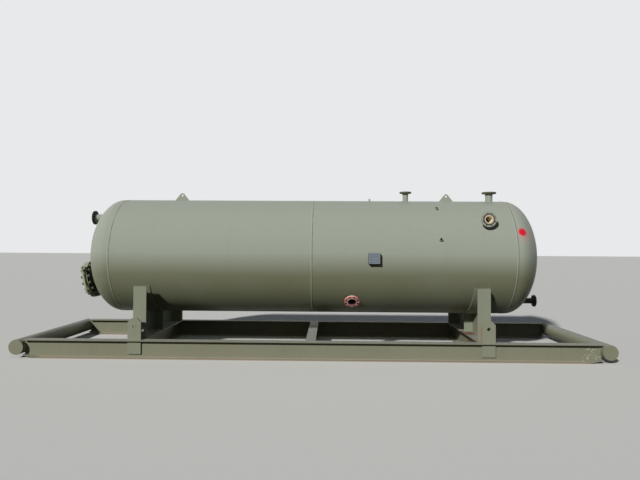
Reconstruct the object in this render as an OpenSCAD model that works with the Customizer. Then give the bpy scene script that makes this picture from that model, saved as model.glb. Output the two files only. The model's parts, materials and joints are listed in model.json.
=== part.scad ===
// Horizontal pressure tank on a lifting skid.
// Lengths are millimetres. The origin is on the ground under the middle of the skid,
// +X runs along the tank toward its drain end, -Y is the side with the nameplate, +Z is up.

/* [Vessel] */
// Outside diameter of the shell
vessel_od = 1829; // [1500:1:2200]
// Wall thickness of the shell and the heads
wall = 14; // [8:0.5:25]
// Length between the two head seams
seam_to_seam = 6096; // [5600:1:7200]
// Straight flange of each head
straight_flange = 50; // [20:1:80]
// Ratio of head radius to head depth
head_ratio = 2; // [1.6:0.1:2.6]
// Height of the vessel axis above the ground
axis_height = 1493; // [1400:1:1700]
// Width of a girth weld cap
weld_w = 18; // [8:1:30]
// Height of a girth weld cap
weld_h = 3; // [1:0.5:5]

/* [Skid] */
// Overall width of the skid across the main beams
skid_w = 2234; // [2100:1:2500]
// Distance between the centres of the two end pipes
end_pipe_span = 8554; // [8200:1:9400]
// Outside diameter of an end pipe
end_pipe_od = 219.1; // [180:0.1:260]
// Wall of an end pipe
end_pipe_wall = 8.2; // [5:0.1:14]
// How far an end pipe stands out past a main beam
end_pipe_out = 21; // [12:1:60]
// Thickness of the round plates that close the end pipes
pipe_cap_t = 10; // [5:1:16]
// Depth of every beam
beam_h = 270; // [230:1:300]
// Flange width of the main beams and the middle cross-beam
beam_flange_w = 148; // [110:1:180]
// Flange thickness of the beams
beam_flange_t = 13; // [8:0.5:18]
// Web thickness of the beams
beam_web_t = 8; // [5:0.5:12]
// Root fillet of the beams
beam_fillet = 11; // [6:0.5:14]
// How far a main beam's flange reaches over the end pipe
beam_over_pipe = 19; // [10:1:50]
// Length of the rising toe at each end of a main beam
toe_len = 230; // [120:5:320]
// Height that the toe rises
toe_rise = 40; // [15:1:60]

/* [Saddles] */
// Distance of each saddle from the middle
saddle_x = 2547; // [2200:1:2800]
// Width of the legs and the wear plate along the tank
leg_w = 193; // [140:1:260]
// Gap between the wear plate's outside and the outer face of a leg
leg_gap = 4.5; // [0:0.5:40]
// Thickness of the saddle plates
saddle_t = 13; // [8:0.5:20]
// Height of the leg tops above the ground
leg_top = 1043; // [900:1:1150]
// Thickness of the wear plate under the shell
wear_t = 10; // [6:0.5:16]
// Width of the middle rib along the tank
rib_w = 138; // [90:1:170]
// How much wider the cross-beam flange is than a leg
saddle_flange_extra = 4; // [2:1:40]

/* [Lifting eyes] */
// Width of a skid padeye
padeye_w = 195; // [140:1:240]
// Thickness of a skid padeye
padeye_t = 25; // [16:1:32]
// Height of a padeye above the main beam
padeye_up = 315; // [250:1:360]
// Gap between a padeye's lower edge and the ground
padeye_low = 68; // [40:1:110]
// Chamfer of a padeye's top corners
padeye_chamfer = 52; // [30:1:60]
// Hole in a padeye
padeye_hole = 52; // [38:1:60]
// Distance of the padeye hole below the top edge
padeye_hole_down = 115; // [80:1:140]
// How far a padeye stands past the middle of its saddle
padeye_shift = 25; // [0:1:40]
// Distance of each vessel lug from the middle
lug_x = 2190; // [1800:1:2400]
// Length of a vessel lug at its base
lug_base = 232; // [180:1:280]
// Height of a vessel lug
lug_h = 122; // [90:1:150]
// Thickness of a vessel lug
lug_t = 20; // [12:1:30]
// Round top of a vessel lug
lug_r = 38; // [32:1:44]
// Hole in a vessel lug
lug_hole = 36; // [26:1:48]

/* [Nozzles] */
// Outside diameter of the larger pipe size
pipe_l_od = 114.3; // [100:0.1:130]
// Bore of the larger pipe size
pipe_l_bore = 102.3; // [80:0.1:106]
// Flange diameter of the larger size
flange_l_od = 228.6; // [215:0.1:260]
// Bolt circle of the larger flange
flange_l_pcd = 190.5; // [184:0.1:196]
// Raised face of the larger flange
flange_l_face = 157.2; // [140:0.1:160]
// Thickness of the larger flange
flange_l_t = 24; // [18:0.5:32]
// Outside diameter of the smaller pipe size
pipe_s_od = 88.9; // [80:0.1:100]
// Bore of the smaller pipe size
pipe_s_bore = 77.9; // [60:0.1:79]
// Flange diameter of the smaller size
flange_s_od = 190.5; // [182:0.1:210]
// Bolt circle of the smaller flange
flange_s_pcd = 152.4; // [150:0.1:160]
// Raised face of the smaller flange
flange_s_face = 127; // [110:0.1:128]
// Thickness of the smaller flange
flange_s_t = 24; // [18:0.5:32]
// Bolt holes in both flange sizes
bolt_hole = 19; // [16:0.5:22]
// Height of a flange's raised face
raised_face = 1.6; // [1:0.1:3]
// Place of the smaller top nozzle along the tank
top_small_x = 1521; // [1200:1:1800]
// Place of the larger top nozzle along the tank
top_large_x = 2896; // [2700:1:2950]
// Height of the top nozzle faces above the shell
top_out = 158; // [130:1:240]
// Place of the front nozzle along the tank
front_x = 2631; // [2500:1:2700]
// Height of the front nozzle above the vessel axis
front_up = 575; // [480:1:600]
// Distance of the front nozzle's face from the middle
front_face = 890; // [850:1:1000]
// Place of the low nozzle along the tank
low_x = 615; // [400:1:900]
// Angle of the low nozzle under the horizontal
low_angle = 43; // [34:1:50]
// Height of the low nozzle's face above the shell
low_out = 80; // [70:1:160]
// Height of the nozzle on the left head above the vessel axis
head_nozzle_up = 620; // [550:1:660]
// Distance of the left head nozzle's face from the middle
head_nozzle_face = 3665; // [3640:1:3720]
// Depth of the drain nozzle below the vessel axis
drain_down = 710; // [650:1:740]
// Distance of the drain nozzle's face from the middle
drain_face = 3646; // [3620:1:3720]

/* [Couplings] */
// Place of the two front couplings along the tank
coupling_x = 1922; // [1700:1:2100]
// Outside diameter of a front coupling
coupling_od = 45; // [36:0.5:60]
// Bore of a front coupling
coupling_bore = 30; // [20:0.5:33]
// How far a coupling stands out of the shell
coupling_out = 38; // [25:1:60]
// Angle of the upper coupling above the horizontal
coupling_high = 54; // [45:1:60]
// Angle of the lower coupling above the horizontal
coupling_low = 17; // [10:1:22]
// Place of the vent coupling on top of the shell
vent_x = 927; // [800:1:1100]
// Outside diameter of the vent coupling
vent_od = 30; // [22:0.5:40]
// Bore of the vent coupling
vent_bore = 18; // [10:0.5:20]

/* [Manway] */
// Depth of the manway centre below the vessel axis
manway_down = 368; // [320:1:420]
// Outside diameter of the manway neck
manway_neck_od = 406.4; // [360:0.1:460]
// Wall of the manway neck
manway_neck_wall = 12.7; // [8:0.1:20]
// Length of the manway neck outside the head
manway_out = 150; // [130:1:260]
// Diameter of the manway flange and cover
manway_od = 597; // [580:1:640]
// Thickness of the manway flange and of the cover
manway_t = 36; // [25:0.5:50]
// Bolt circle of the manway
manway_pcd = 539.8; // [525:0.1:552]
// Bolt holes of the manway
manway_hole = 28; // [22:0.5:30]
// Number of manway bolts
manway_bolts = 16; // [12:4:20]
// Thickness of the manway gasket
gasket_t = 3.2; // [1.5:0.1:5]
// Gap between the gasket and the bolt holes
gasket_inset = 8; // [2:1:14]
// Diameter of the bar that the cover handles are bent from
handle_bar = 16; // [10:0.5:22]
// Distance between the legs of a cover handle
handle_w = 130; // [90:1:180]
// Height of a handle above the cover
handle_h = 70; // [50:1:100]
// Distance of each handle from the cover centre
handle_place = 150; // [110:1:190]
// Diameter of the hinge pin beside the manway
hinge_pin = 30; // [18:0.5:36]
// Distance of the pin past the rim of the cover
hinge_reach = 30; // [26:1:45]
// Thickness of the hinge plates
hinge_t = 12; // [8:0.5:16]
// Gap between a hinge plate of the flange and its mate of the cover
hinge_gap = 20; // [10:1:30]
// Distance of each pair of hinge plates from the cover centre
hinge_place = 184; // [140:1:210]

/* [Nameplate] */
// Place of the nameplate along the tank
plate_x = 930; // [700:1:1100]
// Height of the nameplate centre above the ground
plate_z = 1480; // [1380:1:1560]
// Width of the nameplate
plate_w = 172; // [120:1:220]
// Height of the nameplate
plate_h = 160; // [110:1:200]
// Thickness of the nameplate
plate_t = 3; // [1:0.5:5]
// How far the bracket stands off the shell
bracket_out = 66; // [45:1:100]
// Thickness of the bracket
bracket_t = 5; // [3:0.5:8]

/* [Hidden] */

$fn = 96;
FINE = 360;
CUT = 2;
PAINT = [0.60, 0.62, 0.55];
PAINT_LOW = [0.50, 0.51, 0.43];
SKID_PAINT = [0.47, 0.48, 0.40];
PRIMER = [0.80, 0.48, 0.42];
ALLOY = [0.55, 0.57, 0.60];
GASKET = [0.20, 0.20, 0.21];

vessel_r = vessel_od / 2;
bore_r = vessel_r - wall;
head_depth = bore_r / head_ratio;
head_x = seam_to_seam / 2 + straight_flange;
web_y = skid_w / 2 - beam_flange_w / 2;
cross_flange_y = skid_w / 2 - beam_flange_w;
cross_web_y = web_y - beam_web_t / 2;
pipe_r = end_pipe_od / 2;
pipe_x = end_pipe_span / 2;
pipe_z = beam_h - pipe_r;
pipe_y = skid_w / 2 + end_pipe_out;
beam_x = pipe_x - pipe_r + beam_over_pipe;
toe_x = pipe_x - pipe_r * 0.8 - toe_len;
seat_r = vessel_r + wear_t;
leg_y = seat_r + leg_gap;
padeye_x = saddle_x + padeye_shift;
padeye_y = web_y + beam_web_t / 2 + padeye_t / 2;
padeye_top = beam_h + padeye_up;
neck_inside = 40;
manway_tilt = atan(normal_slope(manway_down));
manway_x = head_x + head_bulge(manway_down);

// Depth of a head's outer face past its straight flange, at a height from the vessel axis.
function head_bulge(h) = (head_depth + wall) * sqrt(1 - pow(h / vessel_r, 2));

// Slope of the head's outward normal at a height from the vessel axis.
function normal_slope(h) = (h / pow(vessel_r, 2)) * pow(head_depth + wall, 2) / head_bulge(h);

// Points of a quarter ellipse from the rim to the crown.
function quarter(r, depth, base, steps = 30) =
    [for (i = [0 : steps]) [r * cos(90 * i / steps), base + depth * sin(90 * i / steps)]];

// Points of one root fillet of a rolled beam, about its own centre.
function fillet(cx, cz, r, from) =
    [for (i = [0 : 4]) [cx + r * cos(from - 22.5 * i), cz + r * sin(from - 22.5 * i)]];

// Angle of the line that runs from a lug's base corner to its round top.
function lug_tangent(half, up, r) = atan(up / half) + asin(r / sqrt(half * half + up * up));

module along_x(x) {
    translate([x, 0, axis_height]) rotate([0, 90, 0]) children();
}

// Places a child at an angle above the horizontal on the front of the shell.
module on_front(x, angle) {
    translate([x, 0, axis_height]) rotate([90 - angle, 0, 0]) children();
}

// Places a child on the shell's crown, measured from the vessel axis.
module on_top(x) {
    translate([x, 0, axis_height]) children();
}

module front_axis() {
    translate([front_x, 0, axis_height + front_up]) rotate([90, 0, 0]) children();
}

module manway_axis() {
    translate([-manway_x, 0, axis_height - manway_down]) rotate([0, -90 - manway_tilt, 0])
        children();
}

module tube(r, bore, from, to) {
    difference() {
        translate([0, 0, from]) cylinder(r = r, h = to - from);
        translate([0, 0, from - CUT]) cylinder(r = bore, h = to - from + 2 * CUT);
    }
}

module bolt_circle(pcd, count, hole, from, h) {
    for (i = [0 : count - 1])
        rotate([0, 0, 360 * (i + 0.5) / count]) translate([pcd / 2, 0, from])
            cylinder(d = hole, h = h, $fn = 32);
}

// A weld-neck flange on a length of pipe, its raised face at height `face`.
module nozzle(pipe_od, bore, flange_od, flange_t, face_d, pcd, count, from, face) {
    hub_d = min(pipe_od * 1.18, face_d - 12);
    hub_h = flange_t * 1.2;
    back = face - raised_face - flange_t;
    difference() {
        union() {
            translate([0, 0, from]) cylinder(d = pipe_od, h = back - from + 1);
            translate([0, 0, back - hub_h]) cylinder(d1 = pipe_od, d2 = hub_d, h = hub_h);
            translate([0, 0, back]) cylinder(d = flange_od, h = flange_t);
            translate([0, 0, back]) cylinder(d = face_d, h = flange_t + raised_face);
        }
        translate([0, 0, from - CUT]) cylinder(d = bore, h = face - from + 2 * CUT);
        bolt_circle(pcd, count, bolt_hole, back - CUT, flange_t + 2 * CUT);
    }
}

module nozzle_large(from, face) {
    nozzle(pipe_l_od, pipe_l_bore, flange_l_od, flange_l_t, flange_l_face, flange_l_pcd, 8,
        from, face);
}

module nozzle_small(from, face) {
    nozzle(pipe_s_od, pipe_s_bore, flange_s_od, flange_s_t, flange_s_face, flange_s_pcd, 4,
        from, face);
}

// The holes that the necks pass through in the shell's right course.
module shell_holes() {
    on_top(top_small_x) cylinder(d = pipe_s_od, h = vessel_r * 2);
    on_top(top_large_x) cylinder(d = pipe_l_od, h = vessel_r * 2);
    front_axis() cylinder(d = pipe_l_od, h = vessel_r * 2);
    on_front(low_x, -low_angle) cylinder(d = pipe_l_od, h = vessel_r * 2);
    on_front(coupling_x, coupling_high) cylinder(d = coupling_od, h = vessel_r * 2);
    on_front(coupling_x, coupling_low) cylinder(d = coupling_od, h = vessel_r * 2);
    on_top(vent_x) cylinder(d = vent_od, h = vessel_r * 2);
}

module shell_course_left() {
    color(PAINT) along_x(-seam_to_seam / 2)
        tube(vessel_r, bore_r, 0, seam_to_seam / 2, $fn = FINE);
}

module shell_course_right() {
    color(PAINT) difference() {
        along_x(0) tube(vessel_r, bore_r, 0, seam_to_seam / 2, $fn = FINE);
        shell_holes();
    }
}

// A dished head of elliptical section with its straight flange, opening toward -Z.
module head() {
    rotate_extrude($fn = FINE) polygon(concat(
        [[vessel_r, 0]], quarter(vessel_r, head_depth + wall, straight_flange),
        [for (i = [30 : -1 : 0]) quarter(bore_r, head_depth, straight_flange)[i]],
        [[bore_r, 0]]));
}

module head_left() {
    color(PAINT) difference() {
        translate([-seam_to_seam / 2, 0, axis_height]) rotate([0, -90, 0]) head();
        manway_axis() translate([0, 0, -manway_out]) cylinder(d = manway_neck_od, h = 2 * manway_out);
        translate([-seam_to_seam / 2, 0, axis_height + head_nozzle_up]) rotate([0, -90, 0])
            cylinder(d = pipe_l_od, h = vessel_r);
    }
}

module head_right() {
    color(PAINT) difference() {
        along_x(seam_to_seam / 2) head();
        translate([seam_to_seam / 2, 0, axis_height - drain_down]) rotate([0, 90, 0])
            cylinder(d = pipe_s_od, h = vessel_r);
    }
}

module girth_welds() {
    color(PAINT) for (x = [-seam_to_seam / 2, 0, seam_to_seam / 2])
        along_x(x) rotate_extrude($fn = FINE) polygon([
            [vessel_r, -weld_w / 2], [vessel_r + weld_h * 0.7, -weld_w / 4],
            [vessel_r + weld_h, 0], [vessel_r + weld_h * 0.7, weld_w / 4],
            [vessel_r, weld_w / 2]]);
}

module top_nozzle_small() {
    color(PAINT) on_top(top_small_x) nozzle_small(bore_r - neck_inside, vessel_r + top_out);
}

module top_nozzle_large() {
    color(PAINT) on_top(top_large_x) nozzle_large(bore_r - neck_inside, vessel_r + top_out);
}

// The front nozzle runs level into the shell's side, above its middle.
module front_nozzle() {
    inner = sqrt(pow(bore_r, 2) - pow(front_up + pipe_l_od / 2, 2)) - 10;
    color(PAINT) front_axis() nozzle_large(inner, front_face);
}

module low_nozzle() {
    color(PRIMER) on_front(low_x, -low_angle) nozzle_large(bore_r - neck_inside, vessel_r + low_out);
}

module head_nozzle() {
    inner = head_x + head_depth * sqrt(1 - pow((head_nozzle_up + pipe_l_od / 2) / bore_r, 2)) - 20;
    color(PAINT) translate([0, 0, axis_height + head_nozzle_up]) rotate([0, -90, 0])
        nozzle_large(inner, head_nozzle_face);
}

module drain_nozzle() {
    inner = head_x + head_depth * sqrt(1 - pow((drain_down + pipe_s_od / 2) / bore_r, 2)) - 20;
    color(PAINT) translate([0, 0, axis_height - drain_down]) rotate([0, 90, 0])
        nozzle_small(inner, drain_face);
}

module coupling(od, bore) {
    tube(od / 2, bore / 2, bore_r - 6, vessel_r + coupling_out);
}

module coupling_high() {
    color(PAINT) on_front(coupling_x, coupling_high) coupling(coupling_od, coupling_bore);
}

module coupling_low() {
    color(PAINT) on_front(coupling_x, coupling_low) coupling(coupling_od, coupling_bore);
}

module vent_coupling() {
    color(PAINT) on_top(vent_x) coupling(vent_od, vent_bore);
}

module manway_neck() {
    color(PAINT) manway_axis()
        tube(manway_neck_od / 2, manway_neck_od / 2 - manway_neck_wall, -wall - 70, manway_out);
}

module manway_flange() {
    color(PAINT) manway_axis() difference() {
        tube(manway_od / 2, manway_neck_od / 2, manway_out - manway_t, manway_out);
        bolt_circle(manway_pcd, manway_bolts, manway_hole, manway_out - manway_t - CUT,
            manway_t + 2 * CUT);
    }
}

module manway_gasket() {
    color(GASKET) manway_axis() tube(manway_pcd / 2 - manway_hole / 2 - gasket_inset,
        manway_neck_od / 2 - manway_neck_wall, manway_out, manway_out + gasket_t);
}

module manway_cover() {
    color(PAINT) manway_axis() translate([0, 0, manway_out + gasket_t]) difference() {
        cylinder(d = manway_od, h = manway_t);
        bolt_circle(manway_pcd, manway_bolts, manway_hole, -CUT, manway_t + 2 * CUT);
    }
}

// One handle bent from round bar, standing on the cover.
module handle() {
    bend = handle_bar * 1.5;
    half = handle_w / 2;
    for (side = [-1, 1]) {
        translate([0, side * half, 0]) cylinder(d = handle_bar, h = handle_h - bend);
        translate([0, side * (half - bend), handle_h - bend]) rotate([0, 90, 0])
            rotate([0, 0, side > 0 ? 90 : 180]) rotate_extrude(angle = 90)
                translate([bend, 0]) circle(d = handle_bar, $fn = 24);
    }
    translate([0, bend - half, handle_h]) rotate([-90, 0, 0])
        cylinder(d = handle_bar, h = handle_w - 2 * bend);
}

module manway_handles() {
    color(ALLOY) manway_axis() translate([0, 0, manway_out + gasket_t + manway_t])
        for (side = [-1, 1]) translate([side * handle_place, 0, 0]) handle();
}

// A hinge plate that runs from the rim, between two heights of it, out around the pin.
module hinge_plate(from, low, high) {
    pin_y = manway_od / 2 + hinge_reach;
    pin_z = manway_out + gasket_t / 2;
    eye_r = hinge_pin * 0.8;
    root = sqrt(pow(manway_od / 2, 2) - pow(from + hinge_t, 2));
    for (side = [-1, 1])
        translate([side > 0 ? from : -from - hinge_t, 0, 0]) rotate([90, 0, 90])
            linear_extrude(hinge_t) union() {
                polygon([[-root, low], [-root, high], [-pin_y, pin_z + eye_r],
                    [-pin_y, pin_z - eye_r]]);
                translate([-pin_y, pin_z]) circle(r = eye_r);
            }
}

// The side hinge: outer plates on the flange, inner plates on the cover, one pin through all.
module manway_hinge() {
    outer = hinge_place + hinge_gap / 2;
    inner = hinge_place - hinge_gap / 2 - hinge_t;
    reach = outer + hinge_t + hinge_pin / 4;
    lid = manway_out + gasket_t;
    color(ALLOY) manway_axis() difference() {
        union() {
            hinge_plate(outer, manway_out - manway_t, manway_out);
            hinge_plate(inner, lid, lid + manway_t);
            translate([-reach, -manway_od / 2 - hinge_reach, manway_out + gasket_t / 2])
                rotate([0, 90, 0]) cylinder(d = hinge_pin, h = 2 * reach);
        }
        translate([0, 0, manway_out - 2 * manway_t]) cylinder(d = manway_od, h = 5 * manway_t);
    }
}

// A lifting lug with straight flanks that run up into its round top.
module vessel_lug(x) {
    half = lug_base / 2;
    up = lug_h - lug_r;
    lean = lug_tangent(half, up, lug_r);
    tx = lug_r * sin(lean);
    tz = up + lug_r * cos(lean);
    color(PAINT) translate([x, lug_t / 2, axis_height + vessel_r]) rotate([90, 0, 0])
        linear_extrude(lug_t) difference() {
            union() {
                polygon([[-half, 0], [half, 0], [tx, tz], [-tx, tz]]);
                translate([0, up]) circle(r = lug_r);
            }
            translate([0, up]) circle(d = lug_hole);
        }
}

module vessel_lug_left() {
    vessel_lug(-lug_x);
}

module vessel_lug_right() {
    vessel_lug(lug_x);
}

// A bent bracket whose two sides are cut to the curve of the shell.
module nameplate_bracket() {
    face = vessel_r + bracket_out;
    color(PAINT) difference() {
        translate([plate_x - plate_w / 2, -face, plate_z - plate_h / 2])
            cube([plate_w, bracket_out + 40, plate_h]);
        translate([plate_x - plate_w / 2 + bracket_t, bracket_t - face, plate_z - plate_h])
            cube([plate_w - 2 * bracket_t, bracket_out + 100, plate_h * 2]);
        along_x(plate_x - plate_w) cylinder(r = vessel_r, h = plate_w * 2, $fn = FINE);
    }
}

module nameplate() {
    color(ALLOY) translate([plate_x - plate_w / 2, -vessel_r - bracket_out - plate_t,
        plate_z - plate_h / 2]) cube([plate_w, plate_t, plate_h]);
}

module seat_cut() {
    along_x(-seam_to_seam / 2) cylinder(r = seat_r, h = seam_to_seam, $fn = FINE);
}

// Saddle pieces are drawn for the right-hand saddle; `side` mirrors them for the left.
module saddle_web(side) {
    inside = leg_y - saddle_t;
    color(PAINT_LOW) difference() {
        translate([side > 0 ? saddle_x + leg_w / 2 - saddle_t : -saddle_x - leg_w / 2, -inside,
            beam_h]) cube([saddle_t, 2 * inside, leg_top - beam_h]);
        seat_cut();
    }
}

module saddle_leg(side, end) {
    from = end > 0 ? leg_y - saddle_t : -leg_y;
    color(PAINT_LOW) difference() {
        translate([side * saddle_x - leg_w / 2, from, beam_h])
            cube([leg_w, saddle_t, leg_top - beam_h]);
        seat_cut();
    }
}

// The rib stands on the cross-beam against the web's inner face, in the middle of the saddle.
module saddle_rib(side) {
    web = leg_w / 2 - saddle_t;
    color(PAINT_LOW) difference() {
        translate([side > 0 ? saddle_x + web - rib_w : -saddle_x - web, -saddle_t / 2, beam_h])
            cube([rib_w, saddle_t, axis_height - vessel_r]);
        seat_cut();
    }
}

module saddle_wear_plate(side) {
    color(PAINT_LOW) difference() {
        along_x(side * saddle_x - leg_w / 2) tube(seat_r, vessel_r, 0, leg_w, $fn = FINE);
        translate([side * saddle_x - leg_w, -vessel_od, leg_top])
            cube([2 * leg_w, 2 * vessel_od, 2 * vessel_od]);
    }
}

module saddle_left_web() {
    saddle_web(-1);
}

module saddle_left_front_leg() {
    saddle_leg(-1, -1);
}

module saddle_left_rear_leg() {
    saddle_leg(-1, 1);
}

module saddle_left_rib() {
    saddle_rib(-1);
}

module saddle_left_wear_plate() {
    saddle_wear_plate(-1);
}

module saddle_right_web() {
    saddle_web(1);
}

module saddle_right_front_leg() {
    saddle_leg(1, -1);
}

module saddle_right_rear_leg() {
    saddle_leg(1, 1);
}

module saddle_right_rib() {
    saddle_rib(1);
}

module saddle_right_wear_plate() {
    saddle_wear_plate(1);
}

// Section of a rolled beam about its own middle, with root fillets.
module beam_section(flange_w) {
    hw = flange_w / 2;
    hh = beam_h / 2;
    fz = hh - beam_flange_t;
    wx = beam_web_t / 2;
    fx = wx + beam_fillet;
    cz = fz - beam_fillet;
    polygon(concat(
        [[-hw, hh], [-hw, fz]], [for (p = fillet(-fx, cz, beam_fillet, 90)) p],
        [for (i = [4 : -1 : 0]) let (p = fillet(-fx, cz, beam_fillet, 90)[i]) [p[0], -p[1]]],
        [[-hw, -fz], [-hw, -hh], [hw, -hh], [hw, -fz]],
        [for (p = fillet(-fx, cz, beam_fillet, 90)) [-p[0], -p[1]]],
        [for (i = [4 : -1 : 0]) let (p = fillet(-fx, cz, beam_fillet, 90)[i]) [-p[0], p[1]]],
        [[hw, fz], [hw, hh]]));
}

// A main beam, coped to the end pipes, its lower flange bent up at both toes.
module skid_beam(end) {
    color(SKID_PAINT) difference() {
        translate([0, end * web_y, 0]) union() {
            translate([-toe_x, 0, beam_h / 2]) rotate([90, 0, 90])
                linear_extrude(2 * toe_x) beam_section(beam_flange_w);
            for (side = [-1, 1]) beam_toe(side);
        }
        for (x = [-pipe_x, pipe_x])
            translate([x, -skid_w, pipe_z]) rotate([-90, 0, 0]) cylinder(r = pipe_r, h = 2 * skid_w);
        for (x = [-padeye_x, padeye_x])
            translate([x - padeye_w / 2, end * padeye_y - padeye_t / 2, padeye_low])
                cube([padeye_w, padeye_t, padeye_top - padeye_low]);
    }
}

module beam_toe(side) {
    tip = pipe_x - pipe_r * 0.8;
    mirror([side > 0 ? 0 : 1, 0, 0]) rotate([90, 0, 0]) {
        translate([0, 0, -beam_web_t / 2]) linear_extrude(beam_web_t) polygon([
            [toe_x - 1, 1], [tip, toe_rise + 1], [tip, beam_h - 1], [toe_x - 1, beam_h - 1]]);
        translate([0, 0, -beam_flange_w / 2]) linear_extrude(beam_flange_w) polygon([
            [toe_x, 0], [tip, toe_rise], [tip, toe_rise + beam_flange_t], [toe_x, beam_flange_t]]);
        translate([0, 0, -beam_flange_w / 2]) linear_extrude(beam_flange_w) polygon([
            [toe_x - 1, beam_h - beam_flange_t], [beam_x, beam_h - beam_flange_t],
            [beam_x, beam_h], [toe_x - 1, beam_h]]);
    }
}

module skid_beam_front() {
    skid_beam(-1);
}

module skid_beam_rear() {
    skid_beam(1);
}

module end_pipe(side) {
    reach = pipe_y - pipe_cap_t;
    color(SKID_PAINT) translate([side * pipe_x, 0, pipe_z]) rotate([90, 0, 0])
        tube(pipe_r, pipe_r - end_pipe_wall, -reach, reach);
}

module end_pipe_left() {
    end_pipe(-1);
}

module end_pipe_right() {
    end_pipe(1);
}

module end_pipe_caps() {
    color(SKID_PAINT) for (x = [-pipe_x, pipe_x], end = [-1, 1])
        translate([x, end * (pipe_y - pipe_cap_t / 2), pipe_z]) rotate([90, 0, 0])
            translate([0, 0, -pipe_cap_t / 2])
                cylinder(r = pipe_r - end_pipe_wall / 3, h = pipe_cap_t);
}

// A cross-beam whose flanges stop at the main beams' flanges and whose web runs on to theirs.
module crossbeam(x, flange_w) {
    clear_h = beam_h - 2 * beam_flange_t;
    color(SKID_PAINT) translate([x, 0, beam_h / 2]) {
        translate([0, cross_flange_y, 0]) rotate([90, 0, 0])
            linear_extrude(2 * cross_flange_y) beam_section(flange_w);
        difference() {
            translate([-beam_web_t / 2, -cross_web_y, -clear_h / 2])
                cube([beam_web_t, 2 * cross_web_y, clear_h]);
            for (end = [-1, 1], up = [-1, 1])
                translate([-beam_web_t, end * cross_web_y, up * clear_h / 2]) rotate([0, 90, 0])
                    cylinder(r = beam_fillet * 1.6, h = 2 * beam_web_t, $fn = 32);
        }
    }
}

module crossbeam_left() {
    crossbeam(-saddle_x, leg_w + saddle_flange_extra);
}

module crossbeam_middle() {
    crossbeam(0, beam_flange_w);
}

module crossbeam_right() {
    crossbeam(saddle_x, leg_w + saddle_flange_extra);
}

// The two padeyes beside one saddle, welded to the outer faces of the main beams' webs.
module padeyes(x) {
    half = padeye_w / 2;
    h = padeye_top - padeye_low;
    color(SKID_PAINT) for (end = [-1, 1])
        translate([x, end * padeye_y + padeye_t / 2, padeye_low]) rotate([90, 0, 0])
            linear_extrude(padeye_t) difference() {
                polygon([[-half, 0], [half, 0], [half, h - padeye_chamfer],
                    [half - padeye_chamfer, h], [padeye_chamfer - half, h],
                    [-half, h - padeye_chamfer]]);
                translate([0, h - padeye_hole_down]) circle(d = padeye_hole);
            }
}

module padeyes_left() {
    padeyes(-padeye_x);
}

module padeyes_right() {
    padeyes(padeye_x);
}

shell_course_left();
shell_course_right();
head_left();
head_right();
girth_welds();
top_nozzle_small();
top_nozzle_large();
front_nozzle();
low_nozzle();
head_nozzle();
drain_nozzle();
coupling_high();
coupling_low();
vent_coupling();
manway_neck();
manway_flange();
manway_gasket();
manway_cover();
manway_handles();
manway_hinge();
vessel_lug_left();
vessel_lug_right();
nameplate_bracket();
nameplate();
saddle_left_web();
saddle_left_front_leg();
saddle_left_rear_leg();
saddle_left_rib();
saddle_left_wear_plate();
saddle_right_web();
saddle_right_front_leg();
saddle_right_rear_leg();
saddle_right_rib();
saddle_right_wear_plate();
skid_beam_front();
skid_beam_rear();
end_pipe_left();
end_pipe_right();
end_pipe_caps();
crossbeam_left();
crossbeam_middle();
crossbeam_right();
padeyes_left();
padeyes_right();
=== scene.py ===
"""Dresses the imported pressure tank: paint, primer, rust, welds, studs, plate and a pale floor."""

import json
import logging
import math
from collections.abc import Callable, Iterable
from dataclasses import dataclass, field
from enum import Enum

import bmesh
import bpy
from mathutils import Matrix, Vector

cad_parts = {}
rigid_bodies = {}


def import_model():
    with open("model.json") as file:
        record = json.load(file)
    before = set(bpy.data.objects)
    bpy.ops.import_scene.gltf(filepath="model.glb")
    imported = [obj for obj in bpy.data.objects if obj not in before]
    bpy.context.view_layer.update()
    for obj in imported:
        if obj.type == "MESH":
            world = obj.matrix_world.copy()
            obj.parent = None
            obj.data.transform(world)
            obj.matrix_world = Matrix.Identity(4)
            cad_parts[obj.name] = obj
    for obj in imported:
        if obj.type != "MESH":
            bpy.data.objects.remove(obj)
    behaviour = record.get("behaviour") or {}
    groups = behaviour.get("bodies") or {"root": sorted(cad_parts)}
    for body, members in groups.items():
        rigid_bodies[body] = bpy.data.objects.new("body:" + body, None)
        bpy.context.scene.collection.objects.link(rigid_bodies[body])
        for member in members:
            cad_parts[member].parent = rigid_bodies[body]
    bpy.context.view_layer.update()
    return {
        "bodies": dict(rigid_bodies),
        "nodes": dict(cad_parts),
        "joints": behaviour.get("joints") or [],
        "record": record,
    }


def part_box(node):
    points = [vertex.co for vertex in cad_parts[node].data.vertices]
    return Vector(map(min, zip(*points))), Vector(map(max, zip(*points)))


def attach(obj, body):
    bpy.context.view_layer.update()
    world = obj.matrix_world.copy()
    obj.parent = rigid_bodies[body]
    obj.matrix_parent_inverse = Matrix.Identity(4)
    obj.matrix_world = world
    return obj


LOG = logging.getLogger("tank")
Triple = tuple[float, float, float]
Colour = Triple
Path = tuple[list[Vector], bool]
Reach = Callable[[Vector, Vector], Vector]
Socket = bpy.types.NodeSocket
Sockets = bpy.types.bpy_prop_collection
UP = Vector((0, 0, 1))


def paint_chip(red: int, green: int, blue: int) -> Colour:
    """Turns a display colour of 0 to 255 into linear light.

    Args:
        red, green, blue: The colour as a screen shows it.

    Returns:
        The linear colour that shaders take.
    """
    def linear(part: float) -> float:
        """Undoes the display curve of one channel."""
        return part / 12.92 if part <= 0.04045 else ((part + 0.055) / 1.055) ** 2.4
    return tuple(linear(part / 255.0) for part in (red, green, blue))


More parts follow.
